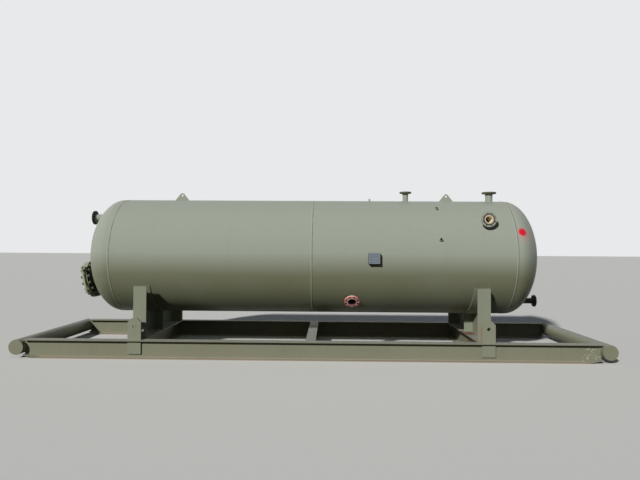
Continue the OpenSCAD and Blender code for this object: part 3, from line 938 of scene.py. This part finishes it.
def weld_tree() -> GeometryTree:
    """Builds the tree that lays a rippled weld bead along the edges of a mesh.

    Returns:
        The tree.
    """
    tree = GeometryTree("weld_bead", {"Bead": 0.005, "Pitch": 0.006, "Seed": 3})
    canvas, given = tree.canvas, tree.given
    curve = canvas.node("GeometryNodeMeshToCurve", {0: given["Geometry"]}).outputs[0]
    ring = canvas.node("GeometryNodeCurvePrimitiveCircle", {
        "Resolution": 8, "Radius": canvas.product(given["Bead"], BEAD_CORE)}).outputs[0]
    core = canvas.node("GeometryNodeCurveToMesh", {
        "Curve": curve, "Profile Curve": ring, "Fill Caps": True}).outputs[0]
    points = canvas.node("GeometryNodeCurveToPoints", {"Curve": curve, "Length": given["Pitch"]},
                         mode="LENGTH").outputs
    drop = canvas.node("GeometryNodeMeshUVSphere", {
        "Segments": 8, "Rings": 4, "Radius": given["Bead"]}).outputs[0]
    flat = canvas.node("GeometryNodeTransform", {
        "Geometry": drop, "Scale": (1.0, 1.0, RIPPLE_FLATNESS)}).outputs[0]
    vary = canvas.node("FunctionNodeRandomValue", {
        "Min": RIPPLE_SMALLEST, "Max": RIPPLE_LARGEST, "Seed": given["Seed"]},
        data_type="FLOAT")
    size = next(s for s in vary.outputs if s.enabled and s.type == "VALUE")
    ripples = canvas.node("GeometryNodeInstanceOnPoints", {
        "Points": points["Points"], "Instance": flat, "Rotation": points["Rotation"],
        "Scale": size}).outputs[0]
    tree.finish(canvas.node("GeometryNodeSetShadeSmooth", {
        0: canvas.join(core, ripples)}).outputs[0])
    return tree


def stud_tree() -> GeometryTree:
    """Builds the tree that sets studs with a nut at each end round a bolt circle.

    Returns:
        The tree.
    """
    tree = GeometryTree("stud_circle", {"Count": 16, "Circle": 0.27, "Stud": 0.013,
                                        "Length": 0.14, "Grip": 0.075, "Nut": 0.022,
                                        "Height": 0.024})
    canvas, given = tree.canvas, tree.given

    def rod(sides: int, radius: Socket, depth: Socket) -> Socket:
        """Adds a cylinder and returns its mesh."""
        return canvas.node("GeometryNodeMeshCylinder", {
            "Vertices": sides, "Radius": radius, "Depth": depth}).outputs["Mesh"]

    ring = canvas.node("GeometryNodeMeshCircle", {
        "Vertices": given["Count"], "Radius": given["Circle"]}).outputs[0]
    stud = rod(16, given["Stud"], given["Length"])
    depth = canvas.product(given["Height"], WASHER_RISE)
    nut = canvas.join(rod(6, given["Nut"], given["Height"]),
                      rod(20, canvas.product(given["Nut"], WASHER_REACH), depth))
    lift = canvas.product(canvas.math("ADD", given["Grip"], depth), 0.5)
    nuts = []
    for sign in (-1.0, 1.0):
        shift = canvas.node("ShaderNodeCombineXYZ", {"Z": canvas.product(lift, sign)}).outputs[0]
        nuts.append(canvas.node("GeometryNodeTransform", {
            "Geometry": nut, "Translation": shift}).outputs[0])
    tree.finish(canvas.node("GeometryNodeInstanceOnPoints", {
        "Points": ring, "Instance": canvas.join(stud, *nuts)}).outputs[0])
    return tree


def rivet_tree() -> GeometryTree:
    """Builds the tree that sets a domed rivet on every point of a mesh.

    Returns:
        The tree.
    """
    tree = GeometryTree("plate_rivets", {"Radius": 0.004})
    canvas, given = tree.canvas, tree.given
    dome = canvas.node("GeometryNodeMeshUVSphere", {
        "Segments": 16, "Rings": 8, "Radius": given["Radius"]}).outputs[0]
    low = canvas.node("GeometryNodeTransform", {
        "Geometry": dome, "Scale": (1.0, RIVET_FLATNESS, 1.0)}).outputs[0]
    placed = canvas.node("GeometryNodeInstanceOnPoints", {
        "Points": given["Geometry"], "Instance": low}).outputs[0]
    tree.finish(canvas.node("GeometryNodeSetShadeSmooth", {0: placed}).outputs[0])
    return tree


def path_mesh(name: str, paths: Iterable[Path]) -> bpy.types.Mesh:
    """Makes a mesh of edges only, one chain for each path.

    Args:
        name: The mesh's name.
        paths: Points of each path, and whether it closes on itself.

    Returns:
        The mesh.
    """
    points: list[Vector] = []
    edges: list[tuple[int, int]] = []
    for chain, closed in paths:
        first = len(points)
        points.extend(chain)
        edges.extend((first + i, first + i + 1) for i in range(len(chain) - 1))
        if closed:
            edges.append((first + len(chain) - 1, first))
    mesh = bpy.data.meshes.new(name)
    mesh.from_pydata([tuple(p) for p in points], edges, [])
    return mesh


def line(start: tuple, end: tuple) -> Path:
    """Returns a straight open path."""
    return [Vector(start), Vector(end)], False


def swing(centre: Vector, reach: float, rise: float, turns: Iterable[float],
          closed: bool = False) -> Path:
    """Traces an arc round a line along Y.

    Args:
        centre: The arc's centre.
        reach, rise: Its radius along X and Z, with their signs.
        turns: The turns of its points.
        closed: Whether the path closes on itself.

    Returns:
        The path.
    """
    return [centre + Vector((reach * math.cos(t), 0, rise * math.sin(t))) for t in turns], closed


def full_turn(steps: int) -> list[float]:
    """Divides a full turn into equal steps."""
    return [math.tau * i / steps for i in range(steps)]


def middle(name: str) -> Vector:
    """Returns the middle of a node's box."""
    low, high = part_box(name)
    return (low + high) / 2


@dataclass
class TankFrame:
    """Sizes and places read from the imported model, in metres."""

    radius: float = field(init=False)
    axis_z: float = field(init=False)
    seam_x: float = field(init=False)
    head_depth: float = field(init=False)
    straight: float = 0.050
    deck_z: float = field(init=False)

    def __post_init__(self) -> None:
        """Reads the boxes of the nodes."""
        low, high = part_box("shell_course_left")
        self.radius = (high.z - low.z) / 2
        self.axis_z = (high.z + low.z) / 2
        self.seam_x = -low.x
        self.head_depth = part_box("head_right")[1].x - self.seam_x - self.straight
        self.deck_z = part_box("skid_beam_front")[1].z

    def on_shell(self, point: Vector, way: Vector) -> Vector:
        """Carries a point along a direction to the outside of the shell.

        Args:
            point: A point inside the shell.
            way: The direction outward.

        Returns:
            The point on the surface.
        """
        a = way.y ** 2 + way.z ** 2
        b = point.y * way.y + (point.z - self.axis_z) * way.z
        c = point.y ** 2 + (point.z - self.axis_z) ** 2 - self.radius ** 2
        return point + way * ((-b + math.sqrt(b * b - a * c)) / a)

    def on_head(self, side: Side) -> Reach:
        """Makes the function that carries a point to the outside of a dished head.

        Args:
            side: The head's end of the tank.

        Returns:
            A function of a point inside the tank and a direction outward.
        """
        scale = Vector((1 / self.head_depth, 1 / self.radius, 1 / self.radius))
        centre = Vector((side.value * (self.seam_x + self.straight), 0, self.axis_z))

        def carry(point: Vector, way: Vector) -> Vector:
            """Carries one point to the head.

            Args:
                point: A point inside the tank.
                way: The direction outward.

            Returns:
                The point on the surface.
            """
            start, step = (point - centre) * scale, way * scale
            a, b, c = step.dot(step), start.dot(step), start.dot(start) - 1
            return point + way * ((-b + math.sqrt(b * b - a * c)) / a)
        return carry

    def girdle(self, radius: float, origin: Vector, way: Vector, reach: Reach,
               steps: int) -> Path:
        """Traces where a round pipe leaves a curved surface.

        Args:
            radius: The pipe's outside radius.
            origin: A point on the pipe's axis, inside the tank.
            way: The pipe's direction.
            reach: The function that carries a point out to the surface.
            steps: Points on the path.

        Returns:
            The closed path.
        """
        upright = abs(way.z) >= NEARLY_UPRIGHT
        across = way.cross(Vector((1, 0, 0)) if upright else UP).normalized()
        other = way.cross(across)
        return [reach(origin + across * (radius * math.cos(turn))
                      + other * (radius * math.sin(turn)), way)
                for turn in full_turn(steps)], True


@dataclass
class Workshop:
    """The CAD nodes, the shared trees and effects, and the finished materials."""

    nodes: dict[str, bpy.types.Object]
    frame: TankFrame = field(default_factory=TankFrame)
    effects: Effects = field(default_factory=Effects)
    welds: GeometryTree = field(default_factory=weld_tree)
    studs: GeometryTree = field(default_factory=stud_tree)
    rivets: GeometryTree = field(default_factory=rivet_tree)
    materials: dict[str, bpy.types.Material] = field(default_factory=dict)
    ripple_pitch: float = 1.25
    weld_seed: int = 7

    def finish(self, finish: Finish) -> bpy.types.Material:
        """Makes a finish once.

        Args:
            finish: The finish.

        Returns:
            Its material.
        """
        if finish.name not in self.materials:
            self.materials[finish.name] = finish.build(self.effects)
        return self.materials[finish.name]

    def dress(self, finish: Finish, *names: str) -> bpy.types.Material:
        """Gives CAD nodes a finish.

        Args:
            finish: The finish.
            names: The nodes' names.

        Returns:
            Its material.
        """
        material = self.finish(finish)
        for name in names:
            node = self.nodes[name]
            for slot in node.material_slots:
                slot.material = material
            if not node.material_slots:
                node.data.materials.append(material)
        LOG.info("%s on %s", material.name, ", ".join(names))
        return material

    def bead(self, name: str, paths: list[Path], size: float, slot: Slot,
             finish: Finish) -> None:
        """Lays a weld along paths."""
        self.welds.grow(path_mesh(name + "_path", paths), name, slot, Bead=size,
                        Pitch=size * self.ripple_pitch, Seed=self.weld_seed,
                        Material=self.finish(finish))


@dataclass
class Vessel:
    """Shell, heads, nozzles, couplings and lugs."""

    shop: Workshop
    low_angle: float = math.radians(-43)
    high_coupling: float = math.radians(54)
    low_coupling: float = math.radians(17)
    coupling_steps: int = 36
    mark_turn: float = math.radians(25.5)
    mark_x: float = 3.147
    mark_radius: float = 0.060
    mist_shift: Triple = (0.045, -0.02, -0.05)
    mist_radius: float = 0.085
    # Shift of the painted seam shadows to each weld's right toe, away from the light.
    bead: float = 0.0055
    toe: float = 0.012

    def paint(self) -> PaintFinish:
        """Describes the tank's paint, with painted shade darkening its lower faces, painted shadow
        lines beside the seams, and the red mark near the right seam.

        Returns:
            The finish.
        """
        frame = self.shop.frame
        mark = frame.radius * self.aslant(self.mark_turn)
        mark += Vector((self.mark_x, 0, frame.axis_z))
        joints = (-frame.seam_x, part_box("shell_course_left")[1].x, frame.seam_x)
        return PaintFinish(
            "tank_paint", TANK_PAINT_AND_SHADE, TANK_FADE, wear=0.35, dusting=0.06, running=0.05,
            patchiness=0.2, bleaching=1.0, seams=tuple(x + self.toe for x in joints),
            dot=Dot(mark, self.mark_radius, RED_SPRAY),
            overspray=Dot(mark + Vector(self.mist_shift), self.mist_radius, PINK_MIST))

    def aslant(self, turn: float) -> Vector:
        """Returns the way out of the tank's front at a turn above the level."""
        return Vector((0, -math.cos(turn), math.sin(turn)))

    def outlets(self) -> list[Outlet]:
        """Lists the nozzles and then the couplings.

        Returns:
            The outlets.
        """
        frame = self.shop.frame

        def radial(name: str, way: Vector, size: Size, **looks: object) -> Outlet:
            """Describes an outlet whose axis meets the tank's."""
            origin = Vector((middle(name).x, 0, frame.axis_z))
            return Outlet(name, origin, way, size, frame.on_shell, **looks)

        def level(name: str, side: Side, size: Size, **looks: object) -> Outlet:
            """Describes a level outlet on a head."""
            origin = Vector((side.value * frame.seam_x, 0, middle(name).z))
            return Outlet(name, origin, Vector((side.value, 0, 0)), size, frame.on_head(side),
                          **looks)

        front = middle("front_nozzle")
        threaded = {"look": Look.THREADED, "path_steps": self.coupling_steps}
        return [
            radial("top_nozzle_small", UP, Size.SMALL, disc=FLANGE_BROWN),
            radial("top_nozzle_large", UP, Size.LARGE, disc=FLANGE_BROWN),
            Outlet("front_nozzle", Vector((front.x, 0, front.z)), self.aslant(0), Size.LARGE,
                   frame.on_shell),
            radial("low_nozzle", self.aslant(self.low_angle), Size.LARGE, look=Look.PRIMED,
                   paint=SALMON),
            # The head nozzle's flange disc is painted dark, a painted shade.
            level("head_nozzle", Side.LEFT, Size.LARGE, disc=PAINTED_SHADE_GREEN),
            # The drain nozzle's darker paint is painted shade.
            level("drain_nozzle", Side.RIGHT, Size.SMALL, paint=DRAIN_PAINTED_SHADE),
            radial("coupling_high", self.aslant(self.high_coupling), Size.COUPLING, **threaded),
            radial("coupling_low", self.aslant(self.low_coupling), Size.COUPLING, **threaded),
            radial("vent_coupling", UP, Size.VENT, **threaded)]

    def build(self) -> None:
        """Paints the vessel's nodes and welds the outlets and lugs on."""
        shop, frame, paint, outlets = self.shop, self.shop.frame, self.paint(), self.outlets()
        shop.dress(paint, *(f"{piece}_{side.word}" for side in Side
                            for piece in ("shell_course", "head", "vessel_lug")))
        # The nameplate's bracket is painted near black, a painted shade round the plate.
        shop.dress(PaintFinish("bracket_black", SHADE_AND_THREAD_DARK, paint_chip(56, 54, 46), wear=0.6,
                               running=0.0, dusting=0.1), "nameplate_bracket")
        # The weld caps' paint, with painted shade darkening their lower faces.
        shop.dress(PaintFinish("seam_paint", paint_chip(152, 155, 136),
                               paint_chip(166, 172, 160), wear=0.2, bleaching=1.0),
                   "girth_welds")
        for outlet in outlets:
            shop.dress(OutletFinish(outlet, shop.nodes[outlet.name]), outlet.name)
        paths = [frame.girdle(outlet.size.value.pipe_r, outlet.origin, outlet.way, outlet.reach,
                              outlet.path_steps) for outlet in outlets]
        top = frame.axis_z + frame.radius
        for side in Side:
            low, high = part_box(f"vessel_lug_{side.word}")
            corners = ((low.x, low.y), (high.x, low.y), (high.x, high.y), (low.x, high.y))
            paths.append(([Vector((x, y, top)) for x, y in corners], True))
        shop.bead("vessel_welds", paths, self.bead, Slot.TANK, paint)


@dataclass
class Manway:
    """The bolted manway on the left head."""

    shop: Workshop
    neck_r: float = 0.2032
    circle_r: float = 0.2699
    studs: int = 16
    stud_r: float = 0.0127
    stud_len: float = 0.150
    nut_r: float = 0.0235
    nut_h: float = 0.025
    plate_t: float = 0.036
    gasket_t: float = 0.0032
    depth_in: float = 0.6
    bead: float = 0.007
    path_steps: int = 120

    def place(self) -> Matrix:
        """Finds the manway's frame: Z outward along its axis, origin in the gasket's middle.

        Returns:
            The frame as a matrix.
        """
        centre = middle("manway_gasket")
        inward = middle("manway_neck") - centre
        tilt = math.atan2(inward.z, inward.x)
        way = Vector((-math.cos(tilt), 0, -math.sin(tilt)))
        side = Vector((0, 1, 0))
        return Matrix((*zip(side.cross(way), side, way, centre), (0, 0, 0, 1)))

    def build(self, welds_paint: PaintFinish) -> None:
        """Finishes the manway's nodes and sets its studs and welds.

        Args:
            welds_paint: The paint over the welds.
        """
        shop, frame, place = self.shop, self.shop.frame, self.place()
        # The neck is painted dark green, and the flange and cover darker on their faces toward the
        # tank: painted shade.
        shop.dress(PaintFinish("manway_paint", PAINTED_SHADE_GREEN, paint_chip(62, 68, 56), wear=0.3,
                               dusting=0.15), "manway_neck")
        shop.dress(PaintFinish("manway_rim_paint", paint_chip(150, 158, 136),
                               paint_chip(160, 170, 150), back=PAINTED_SHADE_GREEN),
                   "manway_flange", "manway_cover")
        shop.dress(MetalFinish("gasket_sheet", paint_chip(44, 44, 46), paint_chip(70, 68, 64),
                               0.7, 0.0, 0.3), "manway_gasket")
        shop.dress(MetalFinish("plated_bar", paint_chip(190, 190, 162), RUST, 0.5, 0.35, 0.25),
                   "manway_handles", "manway_hinge")
        steel = shop.finish(MetalFinish("stud_steel", paint_chip(124, 122, 108),
                                        paint_chip(84, 62, 44), 0.6, 0.15, 0.55))
        half_step = Matrix.Rotation(math.pi / self.studs, 4, "Z")
        shop.studs.grow(path_mesh("stud_seed", [([Vector((0, 0, 0))], False)]), "manway_studs",
                        Slot.STEEL, place @ half_step, Count=self.studs, Circle=self.circle_r,
                        Stud=self.stud_r, Length=self.stud_len,
                        Grip=2 * self.plate_t + self.gasket_t, Nut=self.nut_r,
                        Height=self.nut_h, Material=steel)
        way, centre = place.col[2].to_3d(), place.col[3].to_3d()
        back = centre - way * (self.plate_t + self.gasket_t / 2)
        neck = frame.girdle(self.neck_r, centre - way * self.depth_in, way,
                            frame.on_head(Side.LEFT), self.path_steps)
        ring = frame.girdle(self.neck_r, back, way, lambda point, _: point, self.path_steps)
        shop.bead("manway_welds", [neck, ring], self.bead, Slot.TANK, welds_paint)


@dataclass
class Nameplate:
    """The blank plate with its raised border, rules and rivets."""

    shop: Workshop
    margin: float = 0.010
    strip: float = 0.004
    rise: float = 0.0008
    sunk_share: float = 0.5
    rows: int = 5
    rule_inset: float = 0.012
    rivet_r: float = 0.004

    def build(self) -> None:
        """Finishes the plate and adds its border, rules and rivets."""
        plate = self.shop.dress(MetalFinish("plate_metal", paint_chip(113, 123, 135),
                                            paint_chip(104, 106, 104), 0.38, 0.45, 0.35),
                                "nameplate")
        low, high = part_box("nameplate")
        left, right = low.x + self.margin, high.x - self.margin
        bottom, top = low.z + self.margin, high.z - self.margin
        mesh = bpy.data.meshes.new("nameplate_border")
        shape = bmesh.new()
        half = self.strip / 2
        step = (top - bottom) / (self.rows + 1)
        bars = [(left, right, bottom), (left, right, top)]
        bars += [(left + self.rule_inset, right - self.rule_inset, bottom + step * row)
                 for row in range(1, self.rows + 1)]
        for start, end, z in bars:
            self.bar(shape, (start, end), (z - half, z + half), low.y)
        for x in (left, right):
            self.bar(shape, (x - half, x + half), (bottom + half, top - half), low.y)
        shape.to_mesh(mesh)
        shape.free()
        mesh.materials.append(self.shop.finish(MetalFinish(
            "plate_border", paint_chip(186, 194, 200), paint_chip(120, 124, 126), 0.4, 0.3, 0.3)))
        keep(in_scene("nameplate_border", mesh))
        edge = self.margin / 2
        seed = path_mesh("rivet_seed", [([Vector((x, low.y, z))], False)
                                        for x in (low.x + edge, high.x - edge)
                                        for z in (low.z + edge, high.z - edge)])
        self.shop.rivets.grow(seed, "nameplate_rivets", Slot.STEEL, Radius=self.rivet_r,
                              Material=plate)

    def bar(self, shape: bmesh.types.BMesh, span: tuple, rise: tuple, y: float) -> None:
        """Adds a raised bar on the plate's face.

        Args:
            shape: The mesh to add to.
            span: The bar's ends along X.
            rise: The bar's ends along Z.
            y: The face of the plate.
        """
        depth = self.rise * (1 + self.sunk_share)
        for vert in bmesh.ops.create_cube(shape, size=1.0)["verts"]:
            vert.co = Vector((span[0] + (vert.co.x + 0.5) * (span[1] - span[0]),
                              y - self.rise + (vert.co.y + 0.5) * depth,
                              rise[0] + (vert.co.z + 0.5) * (rise[1] - rise[0])))


@dataclass
class Saddles:
    """The two saddles under the vessel."""

    shop: Workshop
    bead: float = 0.006
    stain_shift: Triple = (0.02, 0.0, 0.06)
    stain_radius: float = 0.15
    plate_t: float = 0.010
    plate_bead_out: float = 0.004
    arc_steps: int = 90

    def build(self) -> None:
        """Paints the saddles and lays their welds."""
        shop = self.shop
        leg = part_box("saddle_right_front_leg")[0]
        foot = Vector((leg.x, leg.y, shop.frame.deck_z)) + Vector(self.stain_shift)
        paint = PaintFinish(
            "saddle_paint", paint_chip(139, 145, 126), paint_chip(142, 148, 130), wear=0.4,
            running=0.08, rust_patch=Dot(foot, self.stain_radius, paint_chip(148, 133, 112)))
        shop.dress(paint, *(f"saddle_{side.word}_{piece}" for side in Side for piece in (
            "web", "front_leg", "rear_leg", "rib", "wear_plate")))
        paths = [path for side in Side for path in self.seams(side)]
        shop.bead("saddle_welds", paths, self.bead, Slot.SADDLE, paint)

    def seams(self, side: Side) -> list[Path]:
        """Lists the welds of one saddle.

        Args:
            side: The saddle's end of the tank.

        Returns:
            The paths.
        """
        frame, deck = self.shop.frame, self.shop.frame.deck_z
        plate, web, rib, front, rear = (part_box(f"saddle_{side.word}_{piece}") for piece in (
            "wear_plate", "web", "rib", "front_leg", "rear_leg"))
        start = math.asin((frame.axis_z - plate[1].z) / (frame.radius + self.plate_t))
        turns = [start + (math.pi - 2 * start) * i / self.arc_steps
                 for i in range(self.arc_steps + 1)]
        paths = [self.arc(corner.x, frame.radius + out, turns)
                 for box, out in ((plate, self.plate_bead_out), (web, self.plate_t))
                 for corner in box]
        web_x = (web[1] if side is Side.LEFT else web[0]).x
        for (a, b), outer, inner in ((front, front[0].y, front[1].y),
                                     (rear, rear[1].y, rear[0].y)):
            paths += [line((a.x, outer, deck), (b.x, outer, deck)),
                      line((web_x, inner, deck), (web_x, inner, b.z))]
        paths += [line((edge.x, web[0].y, deck), (edge.x, web[1].y, deck)) for edge in web]
        paths += [line((rib[0].x, edge.y, deck), (rib[1].x, edge.y, deck)) for edge in rib]
        return paths

    def arc(self, x: float, radius: float, turns: list[float]) -> Path:
        """Returns an arc under the vessel, from turns below the level of its axis."""
        return [Vector((x, -radius * math.cos(t), self.shop.frame.axis_z - radius * math.sin(t)))
                for t in turns], False


@dataclass
class Skid:
    """The lifting skid: main beams, cross-beams, end pipes and padeyes."""

    shop: Workshop
    bead: float = 0.006
    web_t: float = 0.008
    flange_w: float = 0.148
    flange_t: float = 0.014
    fillet: float = 0.035
    eye_t: float = 0.025
    cope: float = math.radians(36)
    cope_steps: int = 24
    ring_steps: int = 72
    ring_inset: float = 1.2
    splash_in: float = 0.14
    splash_z: float = 0.08
    splash_radius: float = 0.17
    patch_shift: float = 0.05
    patch_y: float = -0.15
    patch_radius: float = 0.16

    def build(self) -> None:
        """Paints the skid and lays its welds."""
        shop = self.shop
        low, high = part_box("skid_beam_front")
        web_y = low.y + self.flange_w / 2
        splash = Dot(Vector((high.x - self.splash_in, web_y, self.splash_z)),
                     self.splash_radius, SPLASH_WHITE)
        cross_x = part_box("crossbeam_right")[0].x
        patch = Dot(Vector((cross_x + self.patch_shift, self.patch_y, shop.frame.deck_z)),
                    self.patch_radius, RUST)
        paint = PaintFinish(
            "skid_paint", paint_chip(133, 134, 114), paint_chip(141, 142, 123),
            dust=paint_chip(164, 166, 164), dusting=0.85, running=0.1, wear=0.7,
            dirt_reach=0.03, wave=0.001, splash=splash, rust_patch=patch)
        crossbeams = [f"crossbeam_{place}" for place in ("left", "middle", "right")]
        shop.dress(paint, "skid_beam_front", "skid_beam_rear", "end_pipe_left", "end_pipe_right",
                   "end_pipe_caps", *crossbeams)
        shop.dress(PaintFinish("padeye_paint", paint_chip(138, 142, 122),
                               paint_chip(145, 149, 131)), "padeyes_left", "padeyes_right")
        paths = [path for side in Side for path in self.eye_seams(side)]
        paths += [path for name in crossbeams for path in self.beam_seams(name)]
        paths += [path for side in Side for path in self.pipe_seams(side, web_y)]
        shop.bead("skid_welds", paths, self.bead, Slot.SKID, paint)

    def eye_seams(self, side: Side) -> list[Path]:
        """Lists the welds of the padeyes at one end.

        Args:
            side: The end of the skid.

        Returns:
            The paths.
        """
        deck = self.shop.frame.deck_z
        a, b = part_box(f"padeyes_{side.word}")
        paths: list[Path] = []
        for y, inner in ((a.y, a.y + self.eye_t), (b.y, b.y - self.eye_t)):
            paths += [line((a.x, y, deck), (b.x, y, deck)),
                      line((a.x, inner, deck), (b.x, inner, deck)),
                      *(line((x, inner, a.z), (x, inner, deck - self.flange_t))
                        for x in (a.x, b.x)),
                      line((a.x, inner, a.z), (b.x, inner, a.z))]
        return paths

    def beam_seams(self, name: str) -> list[Path]:
        """Lists the welds of a cross-beam's web against the main beams.

        Args:
            name: The cross-beam's node.

        Returns:
            The paths.
        """
        a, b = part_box(name)
        top = self.shop.frame.deck_z - self.fillet
        return [line((x, y, self.fillet), (x, y, top)) for y in (a.y, b.y)
                for x in self.both_faces(middle(name).x)]

    def pipe_seams(self, side: Side, web_y: float) -> list[Path]:
        """Lists the welds of an end pipe: its caps, and the beams' webs against it.

        Args:
            side: The end of the skid.
            web_y: The middle of the front beam's web.

        Returns:
            The paths.
        """
        name = f"end_pipe_{side.word}"
        a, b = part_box(name)
        centre = middle(name)
        radius = (b.z - a.z) / 2
        ring = radius - self.bead * self.ring_inset
        paths = [swing(Vector((centre.x, y, centre.z)), ring, ring, full_turn(self.ring_steps),
                       True) for y in (a.y, b.y)]
        half = self.cope_steps / 2
        turns = [self.cope * (i / half - 1) for i in range(self.cope_steps + 1)]
        paths += [swing(Vector((centre.x, y, centre.z)), -side.value * radius, radius, turns)
                  for beam_y in (web_y, -web_y) for y in self.both_faces(beam_y)]
        return paths

    def both_faces(self, place: float) -> tuple[float, float]:
        """Returns the two faces of a web from its middle."""
        return place - self.web_t / 2, place + self.web_t / 2


def seen_directly(canvas: Canvas) -> Socket:
    """Tells rays from the camera, from gloss and through glass from all others.

    Args:
        canvas: The canvas of the floor or the world.

    Returns:
        A socket that is 1 for such rays and 0 for others.
    """
    rays = canvas.node("ShaderNodeLightPath").outputs
    mirrored = canvas.math("MAXIMUM", rays["Is Glossy Ray"], rays["Is Transmission Ray"])
    return canvas.math("MAXIMUM", rays["Is Camera Ray"], mirrored)


@dataclass(frozen=True)
class Fill:
    """A soft lamp that lights the object alone, apart from pieces whose names start with skips."""

    name: str
    way: Triple
    strength: float
    skips: str | None = None


@dataclass
class Studio:
    """Camera, lights, world and floor."""

    eye: Triple = (0.2739, -8.5644, 1.6274)
    yaw: float = 0.0190
    pitch: float = 0.0157
    roll: float = 0.0061
    focal_px: float = 516.0
    image_w: float = 640.0
    sensor: float = 36.0
    far: float = 500.0
    floor_half: float = 120.0
    lamp_colour: Colour = (1.0, 0.985, 0.955)
    sun_strength: float = 3.2
    sun_softness: float = math.radians(3)
    sun_turn: float = math.radians(29)
    sun_height: float = math.radians(28.5)
    fills: tuple[Fill, ...] = (Fill("rear_fill", (0.05, 0.99, 0.05), 2.0),
                               Fill("right_fill", (0.82, 0.56, 0.05), 0.7, "saddle_left"))
    fill_softness: float = math.radians(25)
    receivers: dict[str, bpy.types.Collection] = field(default_factory=dict)
    sky: Colour = paint_chip(190, 206, 228)
    sky_strength: float = 0.105
    backdrop: Colour = paint_chip(232, 233, 234)
    floor: Colour = paint_chip(240, 239, 236)
    floor_bounce: Colour = paint_chip(58, 52, 41)
    floor_roughness: float = 0.9
    floor_specular: float = 0.1

    def build(self) -> None:
        """Sets up the camera, the lights and the floor."""
        self.camera()
        self.lights()
        self.world()
        self.ground()
        bpy.context.scene.view_settings.view_transform = "Standard"

    def camera(self) -> None:
        """Places the camera where the photograph was taken."""
        ahead = Vector((-math.sin(self.yaw) * math.cos(self.pitch),
                        math.cos(self.yaw) * math.cos(self.pitch), math.sin(self.pitch)))
        level = Vector((math.cos(self.yaw), math.sin(self.yaw), 0))
        above = level.cross(ahead)
        right = level * math.cos(self.roll) + above * math.sin(self.roll)
        up = above * math.cos(self.roll) - level * math.sin(self.roll)
        data = bpy.data.cameras.new("camera")
        data.sensor_width = self.sensor
        data.lens = self.focal_px / self.image_w * self.sensor
        data.clip_end = self.far
        camera = in_scene("camera", data)
        camera.matrix_world = Matrix((*zip(right, up, -ahead, self.eye), (0, 0, 0, 1)))
        bpy.context.scene.camera = camera

    def lights(self) -> None:
        """Hangs the main light, in front and to the left, and the fills for the far sides."""
        level = math.cos(self.sun_height)
        self.lamp("main_light", (-math.sin(self.sun_turn) * level,
                                 -math.cos(self.sun_turn) * level, math.sin(self.sun_height)),
                  self.sun_strength, self.sun_softness)
        for fill in self.fills:
            lamp = self.lamp(fill.name, fill.way, fill.strength, self.fill_softness)
            self.receivers[fill.name] = bpy.data.collections.new(fill.name + "_receivers")
            lamp.light_linking.receiver_collection = self.receivers[fill.name]

    def lamp(self, name: str, way: Triple, strength: float, softness: float) -> bpy.types.Object:
        """Hangs a sun lamp.

        Args:
            name: The lamp's name.
            way: The direction from the object to the lamp.
            strength: The lamp's strength.
            softness: The lamp's angle, which blurs its shadows.

        Returns:
            The lamp's object.
        """
        data = bpy.data.lights.new(name, "SUN")
        data.energy = strength
        data.angle = softness
        data.color = self.lamp_colour
        lamp = in_scene(name, data)
        lamp.rotation_euler = (-Vector(way)).to_track_quat("-Z", "Y").to_euler()
        lamp.visible_glossy = False
        return lamp

    def fill_the_object(self) -> None:
        """Gives the fills the object alone to light, so that the floor keeps one clean shadow."""
        for piece in bpy.context.scene.objects:
            if piece.type != "MESH" or piece.name == "floor":
                continue
            for fill in self.fills:
                if not (fill.skips and piece.name.startswith(fill.skips)):
                    self.receivers[fill.name].objects.link(piece)

    def world(self) -> None:
        """Makes a pale background that lights the object softly."""
        world = bpy.data.worlds.new("studio")
        bpy.context.scene.world = world
        world.use_nodes = True
        canvas = Canvas(world.node_tree)
        seen = seen_directly(canvas)
        shader = world.node_tree.nodes["Background"]
        canvas.feed(shader.inputs["Color"], canvas.blend(seen, self.sky, self.backdrop))
        canvas.feed(shader.inputs["Strength"], canvas.spread(seen, 0, 1, self.sky_strength, 1.0))

    def ground(self) -> None:
        """Lays the floor, which looks paler than the light it gives back."""
        mesh = bpy.data.meshes.new("floor")
        half = self.floor_half
        mesh.from_pydata([(-half, -half, 0), (half, -half, 0), (half, half, 0), (-half, half, 0)],
                         [], [(0, 1, 2, 3)])
        material, canvas, inputs = blank_material("floor", self.floor_specular)
        inputs["Roughness"].default_value = self.floor_roughness
        canvas.feed(inputs["Base Color"], canvas.blend(seen_directly(canvas), self.floor_bounce,
                                                       self.floor))
        mesh.materials.append(material)
        in_scene("floor", mesh)


def main() -> None:
    """Builds every class in order."""
    logging.basicConfig(level=logging.INFO, format="%(name)s: %(message)s")
    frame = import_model()
    shop = Workshop(frame["nodes"])
    studio = Studio()
    studio.build()
    vessel = Vessel(shop)
    vessel.build()
    Manway(shop).build(vessel.paint())
    Nameplate(shop).build()
    Saddles(shop).build()
    Skid(shop).build()
    studio.fill_the_object()
    LOG.info("all pieces built")


if __name__ == "__main__":
    main()
